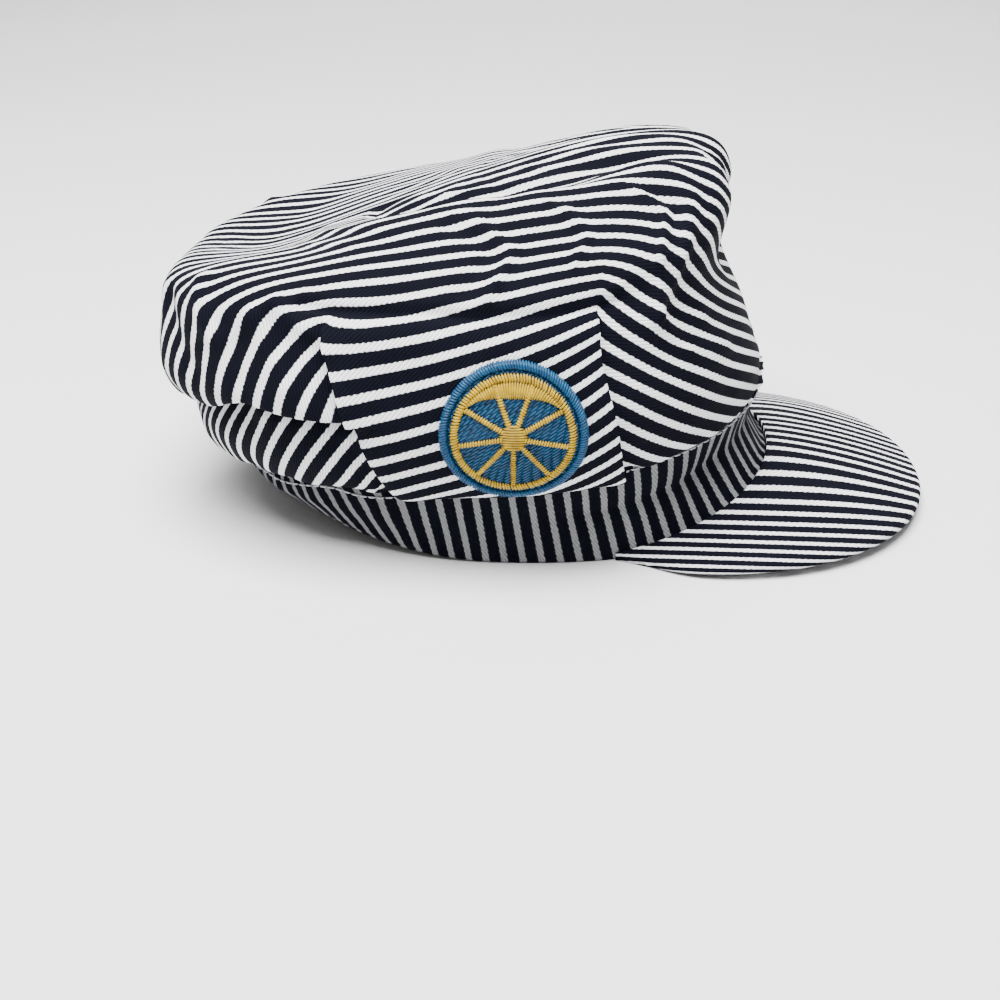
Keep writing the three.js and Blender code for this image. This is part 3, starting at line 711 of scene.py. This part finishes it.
def strip_profile(cloth, top_share, rows):
    """Section of a strip of cloth, folded over at its lower edge: shares of the height, insets and
    lifts, going up the outside, over the top, down the inside and round below."""
    up = np.linspace(0, top_share, rows)
    fold = np.linspace(0, np.pi, 7)[1:-1]
    share = np.concatenate([up, up[::-1], np.zeros(5)])
    inset = np.concatenate([0 * up, 0 * up + cloth, cloth / 2 * (1 + np.cos(fold))])
    lift = np.concatenate([cloth / 2 * smooth(0.12, 0, up)] * 2 + [cloth / 2 * (1 - np.sin(fold))])
    lift[rows:2 * rows] = lift[:rows][::-1]
    return share, inset, lift


def strip_points(turn, cloth, outside, top_share, rows, drop=0):
    """Points of a strip all round the head, a row for each place of its profile."""
    share, inset, lift = strip_profile(cloth, top_share, rows)
    points = band_point(turn[None], share[:, None], outside + inset[:, None])
    points[..., 2] += lift[:, None] - drop * front_arch(turn)[None] * (share[:, None] < 0.01)
    return points, share


def strip_faces(rows, columns):
    """Faces of a strip all round the head, whose last row joins its first."""
    faces = grid_faces(rows, columns, wrap=False)
    last = (rows - 1) * columns
    column = np.arange(columns - 1)
    closing = np.stack([last + column, last + column + 1, column + 1, column], -1)
    return np.concatenate([faces, closing])


def band_piece(paint, inside_paint):
    """Head band, with its stripes upright and leaning a little."""
    columns, rows = 520, 30
    turn = -np.pi + 2 * np.pi * (np.arange(columns + 1) / columns)
    points, share = strip_points(turn, BAND_CLOTH, 0, 1.0, rows)
    walked = arc_length(band_point(turn, 0.5))
    rise = points[..., 2] - lower_edge(turn)[None]
    lean = eased((60, 100, 125, 150, 180), (0.16, 0.16, 0.55, 0.3, 0.1), fold_angle(turn))
    lean = lean * np.where(np.sin(turn) > 0, -1, 1)
    cloth = np.stack([rise, -walked[None] - lean[None] * rise], -1)
    faces = strip_faces(len(share), columns + 1)
    row_of = faces[:, 0] // (columns + 1)
    second = ((row_of >= rows) & (row_of < 2 * rows - 1)).astype(int)
    points, cloth = points.reshape(-1, 3), cloth.reshape(-1, 2)
    piece = mesh_piece("band_cloth", points, faces.tolist(), cloth, (paint, inside_paint), second)
    dress(piece, "band_twill", "band")


def sweatband_piece(paint):
    """Thin dark strip inside the band, which shows a little below the front arch."""
    columns, rows = 360, 12
    turn = -np.pi + 2 * np.pi * (np.arange(columns + 1) / columns)
    outside = BAND_CLOTH + SWEATBAND_CLEARANCE
    points, share = strip_points(turn, SWEATBAND_CLOTH, outside, SWEATBAND_SHARE, rows, SWEATBAND_SHOW)
    walked = arc_length(band_point(turn, 0.5))
    cloth = np.stack([walked[None] + 0 * points[..., 2], points[..., 2]], -1)
    faces = strip_faces(len(share), columns + 1).tolist()
    piece = mesh_piece("sweatband_cloth", points.reshape(-1, 3), faces, cloth.reshape(-1, 2), (paint,))
    dress(piece, "dark_lining", "sweatband")


def visor_edge(side):
    """Free edge of the visor: an oval about the visor's centre, from corner to corner."""
    reach = BAND_FRONT + VISOR_REACH - VISOR_CENTRE
    x, y = oval(
        np.radians(VISOR_END) * side, reach, VISOR_TAIL, VISOR_HALF_WIDTH, VISOR_HALF_WIDTH,
        VISOR_SQUARENESS, VISOR_SQUARENESS,
    )
    return np.stack([VISOR_CENTRE + x, y], -1)


def visor_seam(side):
    """Where the visor meets the band: the band's lower edge, a clearance outside it."""
    y = side * VISOR_HALF_CHORD
    n = BAND_SQUARENESS
    x = BAND_FRONT * (1 - np.abs(y / BAND_HALF_WIDTH) ** n) ** (1 / n)
    slope_x = x ** (n - 1) / BAND_FRONT**n
    slope_y = np.sign(y) * np.abs(y) ** (n - 1) / BAND_HALF_WIDTH**n
    return np.stack([x, y], -1) + unit(np.stack([slope_x, slope_y], -1)) * CLEARANCE


def visor_piece(paint):
    """Stiff visor: straight from the band to its edge in plan, falling with out^VISOR_FALL, and
    rounded over at the edge, where the cloth is turned under. Towards both sides its stripes are
    eased sideways by VISOR_EASE times its height, as the cloth is stretched over the corners."""
    across, outward, bend = 241, 40, 9
    side = np.linspace(-1, 1, across)[:, None]
    half = VISOR_THICKNESS / 2
    inner, outer = visor_seam(side[:, 0])[:, None], visor_edge(side[:, 0])[:, None]
    length = np.linalg.norm(outer - inner, axis=-1)
    flow = (outer - inner) / length[..., None]
    flat = np.linspace(0, 1, outward)[None] * (length - half)
    turned = np.linspace(0, np.pi, bend + 2)[None, 1:-1]
    distance = np.concatenate([flat, length - half + half * np.sin(turned), flat[:, ::-1]], 1)
    lift = np.concatenate([0 * flat + 2 * half, half + half * np.cos(turned) + 0 * length, 0 * flat], 1)
    walked = np.concatenate([flat, length - half + half * turned, flat[:, ::-1] + half * np.pi], 1)
    out = distance / length
    plan = inner + flow * distance[..., None]
    open_part = 1 - side * side
    tip = VISOR_TIP_LIFT * open_part
    z = tip + (FRONT_ARCH * open_part - tip) * (1 - out**VISOR_FALL) + lift
    z = z + 0.25 * np.sin(side * 19 + 2 * out) * out * (1 - out)
    points = np.concatenate([plan, z[..., None]], -1)
    cloth = inner + flow * walked[..., None]
    sideways = smooth(10, 80, np.abs(plan[..., 1])) * np.sign(side)
    cloth[..., 1] -= VISOR_EASE * sideways * (z - VISOR_THICKNESS)
    count = points.shape[1]
    faces = grid_faces(across, count, wrap=True)
    ends = []
    for row, flip in ((0, False), (across - 1, True)):
        step = np.arange(count // 2)
        quad = np.stack([step, step + 1, count - 2 - step, count - 1 - step], -1) + row * count
        quad = [list(dict.fromkeys(corners)) for corners in quad.tolist()]
        ends += [corners[::-1] if flip else corners for corners in quad if len(corners) > 2]
    faces = faces[:, ::-1].tolist() + ends
    piece = mesh_piece("visor_cloth", points.reshape(-1, 3), faces, cloth.reshape(-1, 2), (paint,))
    dress(piece, "visor_twill", "visor")


def strands(paths, radius, up, sides=5):
    """Threads along paths, all at once: a ring of points about each place of each path, its two
    axes square to the path, narrowing to a third at both ends. Returns points and faces."""
    count, places = paths.shape[:2]
    run = unit(np.gradient(paths, axis=1))
    up = np.broadcast_to(up, run.shape)
    lift = unit(up - (up * run).sum(-1, keepdims=True) * run)
    wide = np.cross(run, lift)
    around = np.arange(sides) * 2 * np.pi / sides
    share = np.linspace(-1, 1, places)
    thick = radius * (1 - 0.65 * np.abs(share) ** 6)
    ring = wide[:, :, None] * np.cos(around)[:, None] + lift[:, :, None] * np.sin(around)[:, None]
    points = paths[:, :, None] + ring * thick[None, :, None, None]
    quads = grid_faces(places, sides)
    offset = (np.arange(count) * places * sides)[:, None, None]
    body = (quads[None] + offset).reshape(-1, 4)
    last = (places - 1) * sides
    caps = np.stack([np.arange(sides)[::-1], last + np.arange(sides)])
    caps = (caps[None] + offset).reshape(-1, sides)
    return points.reshape(-1, 3), body.tolist() + caps.tolist()


def topstitch_piece(paint):
    """Row of stitches on the band under its seam with the crown."""
    turn = np.linspace(-np.pi, np.pi, 4001)
    height = BAND_HEIGHT * eased(BAND_ANGLES, BAND_HEIGHTS, fold_angle(turn))
    line = band_point(turn, 1 - STITCH_DROP / height)
    walked = arc_length(line)
    count = int(walked[-1] / STITCH_PITCH)
    share = np.linspace(-1, 1, 6)
    at = np.arange(count)[:, None] * walked[-1] / count + STITCH_LENGTH / 2 * (1 + share)
    paths = np.stack([np.interp(at % walked[-1], walked, line[:, axis]) for axis in range(3)], -1)
    outward = unit(paths * (1, 1, 0))
    paths = paths + outward * (STITCH_ARCH - STITCH_ARCH * share**4)[None, :, None]
    points, faces = strands(paths, STITCH_RADIUS, outward)
    piece = mesh_piece("seam_stitches", points, faces, None, (paint,))
    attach(piece, "root")


# Badge frame: its middle on the crown, its face's right, up and outward directions.
badge_turns = badge_turn + np.array([0, -0.1, 0.1, 0, 0])
badge_levels = BADGE_LEVEL + np.array([0, 0, 0, -0.5, 0.5])
badge_middle, before, after, below, above = solid_crown(badge_turns, badge_levels)
badge_out = unit(np.cross(after - before, above - below))
badge_right = unit(np.array([1.0, 0, 0]) - badge_out * badge_out[0])
badge_up = np.cross(badge_out, badge_right)


def badge_relief():
    """Height of the crown's cloth under the badge on a square grid of its face, by Newton steps on
    the turn and the level."""
    steps = np.linspace(-BADGE_RADIUS - 2, BADGE_RADIUS + 2, 41)
    x, y = np.meshgrid(steps, steps, indexing="ij")
    turn, level = np.full(x.shape, badge_turn), np.full(x.shape, float(BADGE_LEVEL))

    def miss(some_turn, some_level):
        offset = solid_crown(some_turn, some_level) - badge_middle
        return offset @ badge_right - x, offset @ badge_up - y, offset @ badge_out

    for _ in range(7):
        e, f, _ = miss(turn, level)
        e_turn, f_turn = [(new - old) / 0.01 for new, old in zip(miss(turn + 0.01, level), (e, f))]
        e_level, f_level = [(new - old) / 0.01 for new, old in zip(miss(turn, level + 0.01), (e, f))]
        area = e_turn * f_level - e_level * f_turn
        turn = turn - (e * f_level - f * e_level) / area
        level = level - (f * e_turn - e * f_turn) / area
    return steps, miss(turn, level)[2]


relief_steps, relief = badge_relief()


def badge_point(x, y, lift):
    """Place on the badge's face in millimetres, lifted off the cloth along the badge's normal."""
    x, y, lift = np.broadcast_arrays(x, y, lift)
    step = relief_steps[1] - relief_steps[0]
    u = np.clip((x - relief_steps[0]) / step, 0, len(relief_steps) - 1.001)
    v = np.clip((y - relief_steps[0]) / step, 0, len(relief_steps) - 1.001)
    i, j = u.astype(int), v.astype(int)
    a, b = u - i, v - j
    low = relief[i, j] * (1 - a) + relief[i + 1, j] * a
    high = relief[i, j + 1] * (1 - a) + relief[i + 1, j + 1] * a
    height = (low * (1 - b) + high * b + lift)[..., None]
    return badge_middle + x[..., None] * badge_right + y[..., None] * badge_up + height * badge_out


def pad(radii, lifts, count):
    """Closed body of rings on the badge, each a radius and a lift, from its middle on top round to
    its middle below."""
    angle = np.arange(count) * 2 * np.pi / count
    radii, lifts = np.array(radii)[:, None], np.array(lifts)[:, None]
    points = badge_point(radii * np.cos(angle), radii * np.sin(angle), lifts + 0 * angle)
    return points.reshape(-1, 3), grid_faces(len(radii), count)[:, ::-1].tolist()


def stitch_paths(start, end, lift, arch, places=5):
    """Paths from start to end on the badge's face, arched by sin between them."""
    share = np.linspace(0, 1, places)
    flat = start[:, None] + (end - start)[:, None] * share[None, :, None]
    rise = lift + arch * np.sin(np.pi * share)[None]
    return badge_point(flat[..., 0], flat[..., 1], rise + 0 * flat[..., 0])


def joined(parts):
    """Points and faces of several bodies as one."""
    points, faces, start = [], [], 0
    for some_points, some_faces in parts:
        points.append(some_points)
        faces += [[corner + start for corner in face] for face in some_faces]
        start += len(some_points)
    return np.concatenate(points), faces


random = np.random.default_rng(7)


def polar(radius, angle):
    """Place on the badge's face from a radius and an angle."""
    return np.stack([radius * np.cos(angle), radius * np.sin(angle)], -1)


def border_piece(paint):
    """Overlocked border: a ring of threads laid side by side over the patch's edge."""
    count = BORDER_THREADS
    angle = np.arange(count) * 2 * np.pi / count + random.normal(0, THREAD_STRAY, count)
    around = np.linspace(-0.35, np.pi + 0.35, 9)
    middle = BADGE_RADIUS - BADGE_BORDER / 2
    wide = BADGE_BORDER / 2 - 0.1
    half = BORDER_THICKNESS / 2 - 0.1
    jitter = random.normal(0, 0.05, (count, 1))
    radius = middle + (wide + jitter) * np.cos(around)[None]
    lift = CLEARANCE + 0.15 + 2 * half * np.maximum(np.sin(around), -0.05)[None] + 0 * jitter
    slant = angle[:, None] + 0.022 * np.cos(around)[None]
    place = polar(radius, slant)
    paths = badge_point(place[..., 0], place[..., 1], lift)
    threads = strands(paths, BORDER_THREAD, badge_out)
    edge = wide - 0.1
    core = pad(
        middle + np.array([-edge, -0.5, 0.5, edge, 0, -edge]),
        CLEARANCE + np.array([0.5, 1.5, 1.5, 0.5, 0, 0.5]),
        90,
    )
    points, faces = joined([threads, core])
    piece = mesh_piece("badge_border_threads", points, faces, None, (paint,))
    dress(piece, "border_thread", "badge_border")


def ground_piece(paint):
    """Blue ground: a pad covered with rows of fill stitches, each row offset from the last."""
    edge = BADGE_RADIUS - BADGE_BORDER - 0.1
    length = GROUND_STITCH
    lean = np.radians(GROUND_LEAN)
    rows = np.arange(-edge, edge, GROUND_GAP)
    starts, ends = [], []
    for number, row in enumerate(rows):
        half = np.sqrt(max(edge**2 - row**2, 0.01))
        first = -half + (number * 0.37 % 1) * length - length
        begin = np.arange(first, half, length)
        cut = np.clip(np.stack([begin, begin + length], -1), -half, half)
        cut = cut[cut[:, 1] - cut[:, 0] > 0.5]
        starts.append(np.stack([cut[:, 0], np.full(len(cut), row)], -1))
        ends.append(np.stack([cut[:, 1], np.full(len(cut), row)], -1))
    turned = np.array([[np.cos(lean), np.sin(lean)], [-np.sin(lean), np.cos(lean)]])
    start, end = np.concatenate(starts) @ turned, np.concatenate(ends) @ turned
    paths = stitch_paths(start, end, CLEARANCE + BADGE_THICKNESS - 0.42, 0.22)
    threads = strands(paths, GROUND_THREAD, badge_out, sides=6)
    radii = 0.01, edge / 2, edge
    top = CLEARANCE + BADGE_THICKNESS - 0.45
    body = pad(radii + radii[::-1], (top,) * 3 + (CLEARANCE,) * 3, 90)
    points, faces = joined([threads, body])
    piece = mesh_piece("badge_ground_threads", points, faces, None, (paint,))
    dress(piece, "blue_thread", "badge_ground")


def wheel_piece(paint):
    """Golden wheel in satin stitch: a rim, an odd number of spokes, a hub and a counterweight, each
    covered by threads laid across it."""
    lift = CLEARANCE + BADGE_THICKNESS + WHEEL_CLEARANCE - 0.35
    parts = []
    rim = WHEEL_RADIUS - WHEEL_RIM
    count = RIM_THREADS
    angle = np.arange(count) * 2 * np.pi / count + random.normal(0, THREAD_STRAY, count)
    start = polar(rim + random.normal(0, 0.07, count), angle - 0.02)
    end = polar(WHEEL_RADIUS + random.normal(0, 0.07, count), angle + 0.02)
    parts.append(strands(stitch_paths(start, end, lift, SATIN_ARCH, 6), SATIN_THREAD, badge_out))
    for number in range(WHEEL_SPOKES):
        way = np.radians(90) + (number + 0.5) * 2 * np.pi / WHEEL_SPOKES
        reach = np.arange(WHEEL_HUB - 0.4, rim + 0.3, SPOKE_GAP)
        run, beside = polar(1, way), polar(1, way + np.pi / 2)
        half = WHEEL_SPOKE / 2 + 0.1 + random.normal(0, 0.05, len(reach))
        middle = reach[:, None] * run
        start = middle - half[:, None] * (beside + 0.18 * run)
        end = middle + half[:, None] * (beside + 0.18 * run)
        paths = stitch_paths(start, end, lift, SATIN_ARCH * 0.8)
        parts.append(strands(paths, SATIN_THREAD, badge_out))
    half = np.radians(WEIGHT_SPAN) / 2
    off = np.linspace(-half, half, WEIGHT_THREADS)
    inner = rim - WEIGHT_DEPTH * np.cos(off / half * np.pi / 2)
    start = polar(inner + random.normal(0, 0.06, len(off)), off + np.pi / 2)
    end = polar(np.full(len(off), rim + 0.35), off + np.pi / 2)
    parts.append(strands(stitch_paths(start, end, lift, SATIN_ARCH, 6), WEIGHT_THREAD, badge_out))
    across = np.arange(-WHEEL_HUB, WHEEL_HUB + 0.01, HUB_GAP)
    wide = np.sqrt(np.maximum(WHEEL_HUB**2 - across**2, 0)) + 0.15
    start, end = np.stack([-wide, across], -1), np.stack([wide, across], -1)
    paths = stitch_paths(start, end, lift + 0.15, SATIN_ARCH, 7)
    parts.append(strands(paths, SATIN_THREAD, badge_out))
    points, faces = joined(parts)
    piece = mesh_piece("badge_wheel_threads", points, faces, None, (paint,))
    dress(piece, "yellow_thread", "badge_wheel")


class Wire:
    """Output of a shader node. Arithmetic on it adds Math nodes."""

    def __init__(self, paint, socket):
        self.paint = paint
        self.socket = socket

    def math(self, operation, *values):
        return self.paint.add("ShaderNodeMath", {"operation": operation}, dict(enumerate(values)))

    def __add__(self, other):
        return self.math("ADD", self, other)

    def __radd__(self, other):
        return self.math("ADD", other, self)

    def __sub__(self, other):
        return self.math("SUBTRACT", self, other)

    def __rsub__(self, other):
        return self.math("SUBTRACT", other, self)

    def __mul__(self, other):
        return self.math("MULTIPLY", self, other)

    def __rmul__(self, other):
        return self.math("MULTIPLY", other, self)

    def __truediv__(self, other):
        return self.math("DIVIDE", self, other)

    def __abs__(self):
        return self.math("ABSOLUTE", self)

    def fract(self):
        """What is left above the whole number below."""
        return self.math("FRACT", self)

    def step(self, low, high):
        """Eased step from 0 at low to 1 at high, or down where low is the greater."""
        ends = {"Value": self, "From Min": low, "From Max": high}
        return self.paint.add("ShaderNodeMapRange", {"interpolation_type": "SMOOTHSTEP"}, ends)


class Paint:
    """A material whose shader is put together one node at a time."""

    def __init__(self, name, **constants):
        self.material = bpy.data.materials.new(name)
        self.material.use_nodes = True
        self.tree = self.material.node_tree
        self.shader = self.tree.nodes["Principled BSDF"]
        for socket, value in constants.items():
            self.shader.inputs[socket.replace("_", " ")].default_value = value

    def feed(self, socket, value):
        """Sets a socket to a number or colour, or links it."""
        if isinstance(value, Wire):
            self.tree.links.new(value.socket, socket)
        else:
            socket.default_value = value

    def add(self, kind, settings=None, inputs=None, output=0):
        """Any node: its settings first, then the values or links of its sockets."""
        node = self.tree.nodes.new(kind)
        for name, value in (settings or {}).items():
            setattr(node, name, value)
        for name, value in (inputs or {}).items():
            self.feed(node.inputs[name], value)
        return Wire(self, node.outputs[output])

    def blend(self, share, first, second):
        """Colour between first, at 0, and second, at 1."""
        return self.add("ShaderNodeMix", {"data_type": "RGBA"}, {0: share, 6: first, 7: second}, 2)

    def noise(self, vector, scale, detail=2.0, roughness=0.5):
        """Smooth noise about 0.5."""
        inputs = {"Vector": vector, "Scale": scale, "Detail": detail, "Roughness": roughness}
        return self.add("ShaderNodeTexNoise", None, inputs)

    def place(self, x, y, z=0.0):
        """Vector from three values."""
        return self.add("ShaderNodeCombineXYZ", None, {0: x, 1: y, 2: z})

    def bumped(self, height, distance, strength=1.0):
        """Normal from a height in units of distance, in metres."""
        inputs = {"Height": height, "Distance": distance, "Strength": strength}
        self.feed(self.shader.inputs["Normal"], self.add("ShaderNodeBump", None, inputs))

    def colour(self, value):
        self.feed(self.shader.inputs["Base Color"], value)

    def rough(self, value):
        self.feed(self.shader.inputs["Roughness"], value)


NAVY = (0.0012, 0.0014, 0.0040, 1)
# Navy with a painted highlight, for the wales' raised crests, also used for lighter yarn and wear.
NAVY_HIGHLIGHT_AND_WEAR = (0.0036, 0.0040, 0.0095, 1)
WHITE = (0.90, 0.90, 0.93, 1)
# White in painted shade, for the grooves between the wales.
WHITE_GROOVE_SHADE = (0.33, 0.33, 0.36, 1)
# Whites of the band, darkened as painted shade: the band is the same white twill, in the shadow under
# the crown's overhang.
SHADED_BAND_WHITE = (0.24, 0.24, 0.25, 1)
SHADED_BAND_GROOVE_WHITE = (0.10, 0.10, 0.11, 1)
# Lining colours: darker in the wales' grooves as painted shade, lighter on their crests as painted
# highlight.
LINING_DARK = (0.003, 0.003, 0.005, 1)
LINING_LIGHT = (0.012, 0.012, 0.017, 1)
PALE_THREAD = (0.55, 0.55, 0.58, 1)
PALE_THREAD_SHADE = (0.35, 0.35, 0.38, 1)
BLUE_THREAD = (0.0005, 0.022, 0.065, 1)
TEAL_THREAD = (0.0005, 0.030, 0.090, 1)
BLUE_THREAD_LIT = (0.002, 0.075, 0.17, 1)
GOLD_THREAD = (0.26, 0.15, 0.001, 1)
GOLD_THREAD_LIT = (0.55, 0.36, 0.008, 1)
PAPER = (0.76, 0.76, 0.76, 1)
PAPER_GRAIN = (0.72, 0.72, 0.72, 1)


def twill_paint(name, white=WHITE, white_groove_shade=WHITE_GROOVE_SHADE):
    """Striped twill from the cloth's UV map: white where the place across the stripes, with
    ragged edges, is in the first part of each pitch, and diagonal wales over both colours, with
    painted shade in the wales' grooves on the white and a painted highlight on their crests on the
    navy."""
    paint = Paint(name, Roughness=0.9, Specular_IOR_Level=0.06)
    uv = paint.add("ShaderNodeUVMap", {"uv_map": "cloth"})
    along = paint.add("ShaderNodeSeparateXYZ", None, {0: uv}, 0) * UV_STEP
    across = paint.add("ShaderNodeSeparateXYZ", None, {0: uv}, 1) * UV_STEP
    cloth = paint.place(along, across)
    wale = ((along - across * WALE_LEAN) / WALE_PITCH).fract()
    ridge = abs(wale - 0.5) * 2
    ragged = (paint.noise(paint.place(along * 1.1, across * 0.3), 1.0, 2.0) - 0.5) * 0.5
    stair = (wale - 0.5) * WALE_STAIR
    distance = abs(((across + ragged + stair) / STRIPE_PITCH).fract() - 0.5) * STRIPE_PITCH
    white_half = WHITE_SHARE * STRIPE_PITCH / 2
    stripe = distance.step(white_half + STRIPE_BLUR, white_half - STRIPE_BLUR)
    yarn = paint.noise(paint.place(along * 0.9 + across, across * 0.9 - along), 2.6, 2.0)
    wear = paint.noise(cloth, 0.06, 3.0)
    groove = ridge.step(0.40, 0.95)
    # Painted shade: the white is darker in the grooves between the wales, with yarn variation mixed in.
    white_mix = paint.blend(groove * 0.6 + (yarn - 0.5) * 0.5, white, white_groove_shade)
    # Painted highlight: the navy is lighter on the wales' raised crests, with lighter yarn and wear
    # mixed in.
    crest_highlight_and_wear = ridge.step(0.8, 0.2) * 0.6 + (yarn - 0.5) * 0.6 + (wear - 0.5) * 0.6
    navy_mix = paint.blend(crest_highlight_and_wear, NAVY, NAVY_HIGHLIGHT_AND_WEAR)
    paint.colour(paint.blend(stripe, navy_mix, white_mix))
    paint.rough(0.78 + 0.14 * yarn)
    height = (1 - groove) * 0.8 + (yarn - 0.5) * 0.5 + stripe * 0.25
    paint.bumped(height, 0.00022, 0.7)
    return paint.material


def lining_paint():
    """Dark plain twill: fine diagonal wales, painted darker in their grooves as shade and lighter on
    their crests as highlight, and a little fluff.
    """
    paint = Paint("dark_lining_twill", Roughness=0.92, Specular_IOR_Level=0.08)
    place = paint.add("ShaderNodeTexCoord", None, None, 3)
    x, y, z = [paint.add("ShaderNodeSeparateXYZ", None, {0: place}, axis) * 1000 for axis in range(3)]
    ridge = abs(((x + y + z) / LINING_WALE).fract() - 0.5) * 2
    fluff = paint.noise(place, 900, 3.0)
    # Painted shade and highlight: darker in the wales' grooves, lighter on their crests, with fluff
    # noise mixed in.
    paint.colour(paint.blend(ridge * 0.5 + fluff * 0.5, LINING_DARK, LINING_LIGHT))
    paint.bumped(ridge + fluff * 0.5, 0.0002, 0.6)
    return paint.material


def thread_paint(name, colour, shade):
    """Embroidery thread: a soft gloss, colour that varies from strand to strand, fine filaments."""
    paint = Paint(name, Roughness=0.42, Specular_IOR_Level=0.35)
    place = paint.add("ShaderNodeTexCoord", None, None, 3)
    patch = paint.noise(place, 420, 2.0)
    fibre = paint.noise(place, 3800, 2.0)
    paint.colour(paint.blend((patch - 0.5) * 1.6 + (fibre - 0.5) * 0.6 + 0.45, colour, shade))
    paint.rough(0.34 + 0.2 * fibre)
    paint.bumped(fibre, 0.00008, 0.6)
    return paint.material


def floor_paint():
    """Pale matt paper with a very faint grain."""
    paint = Paint("pale_paper", Roughness=0.9, Specular_IOR_Level=0.2)
    place = paint.add("ShaderNodeTexCoord", None, None, 3)
    grain = paint.noise(place, 60, 4.0)
    paint.colour(paint.blend(grain * 0.4, PAPER, PAPER_GRAIN))
    paint.bumped(grain, 0.0002, 0.2)
    return paint.material


# Camera: the photograph's angle. Its distance and heights are in millimetres.
CAMERA_DISTANCE = 520
CAMERA_AZIMUTH = 4
CAMERA_ELEVATION = 24.5
CAMERA_DROP = 11.3
CAMERA_LENS = 49.68


def place_camera():
    """Camera on a sphere about the cap's middle, looking straight along its radius."""
    azimuth, elevation = np.radians(CAMERA_AZIMUTH), np.radians(CAMERA_ELEVATION)
    back = np.array([
        np.sin(azimuth) * np.cos(elevation), -np.cos(azimuth) * np.cos(elevation), np.sin(elevation),
    ])
    up = np.array([
        -np.sin(azimuth) * np.sin(elevation), np.cos(azimuth) * np.sin(elevation), np.cos(elevation),
    ])
    right = np.cross(up, back)
    data = bpy.data.cameras.new("photo_camera")
    data.lens = CAMERA_LENS
    data.sensor_width = 36
    camera = bpy.data.objects.new("photo_camera", data)
    bpy.context.scene.collection.objects.link(camera)
    at = (back * CAMERA_DISTANCE - up * CAMERA_DROP + FRAME_SHIFT) / 1000
    rows = np.stack([right, up, back, at], 1)
    camera.matrix_world = Matrix([*rows.tolist(), (0, 0, 0, 1)])
    bpy.context.scene.camera = camera


def area_light(name, place, target, size, power):
    """Square soft light at a place, facing a target; in metres and watts."""
    data = bpy.data.lights.new(name, "AREA")
    data.size = size
    data.energy = power
    light = bpy.data.objects.new(name, data)
    bpy.context.scene.collection.objects.link(light)
    light.location = place
    light.rotation_euler = (Vector(target) - Vector(place)).to_track_quat("-Z", "Y").to_euler()


FLOOR_HALF_WIDTH = 4000
FLOOR_RUN = (-3500, 5200)       # from its front edge to its raised back's top, along its section
FLOOR_FLAT = 2200               # where its flat part ends
FLOOR_BEND = 900                # radius
FLOOR_ROWS, FLOOR_COLUMNS = 80, 60


def studio():
    """Floor with a raised back, soft light from above, a weak one from in front, a pale world."""
    x = np.linspace(-FLOOR_HALF_WIDTH, FLOOR_HALF_WIDTH, FLOOR_COLUMNS)
    run = np.linspace(*FLOOR_RUN, FLOOR_ROWS)
    bend = np.clip(run - FLOOR_FLAT, 0, None)
    turned = np.minimum(bend / FLOOR_BEND, np.pi / 2)
    y = np.where(run < FLOOR_FLAT, run, FLOOR_FLAT + FLOOR_BEND * np.sin(turned))
    z = FLOOR_BEND * (1 - np.cos(turned)) + np.clip(bend - FLOOR_BEND * np.pi / 2, 0, None)
    grid_x, grid_y = np.meshgrid(x, y, indexing="xy")
    points = np.stack([grid_x, grid_y, np.broadcast_to(z[:, None], grid_x.shape)], -1) - FRAME_SHIFT
    faces = grid_faces(FLOOR_ROWS, FLOOR_COLUMNS, wrap=False).tolist()
    floor = mesh_piece("floor", points.reshape(-1, 3), faces, None, (floor_paint(),))
    area_light("overhead", (-0.12, -0.28, 1.35), (0, 0, 0.05), 1.0, 88)
    area_light("front_fill", (0.5, -1.6, 0.6), (0, 0, 0.05), 1.2, 2.5)
    area_light("backdrop", (0, 1.5, 2.2), (0, 3.1, 0.6), 1.5, 90)
    world = bpy.data.worlds.new("pale_room")
    bpy.context.scene.world = world
    world.use_nodes = True
    world.node_tree.nodes["Background"].inputs["Color"].default_value = (1, 1, 1, 1)
    world.node_tree.nodes["Background"].inputs["Strength"].default_value = 0.33


place_camera()
lining = lining_paint()
crown_piece(twill_paint("crown_striped_twill"), lining)
# The band's white stripes are painted darker as shade, for the shadow under the crown's overhang.
band_piece(twill_paint("band_striped_twill_in_painted_shade", SHADED_BAND_WHITE, SHADED_BAND_GROOVE_WHITE), lining)
sweatband_piece(lining)
visor_piece(twill_paint("visor_striped_twill"))
topstitch_piece(thread_paint("pale_sewing_thread", PALE_THREAD, PALE_THREAD_SHADE))
ground_piece(thread_paint("blue_embroidery_thread", BLUE_THREAD, BLUE_THREAD_LIT))
border_piece(thread_paint("teal_border_thread", TEAL_THREAD, BLUE_THREAD_LIT))
wheel_piece(thread_paint("golden_satin_thread", GOLD_THREAD, GOLD_THREAD_LIT))
studio()
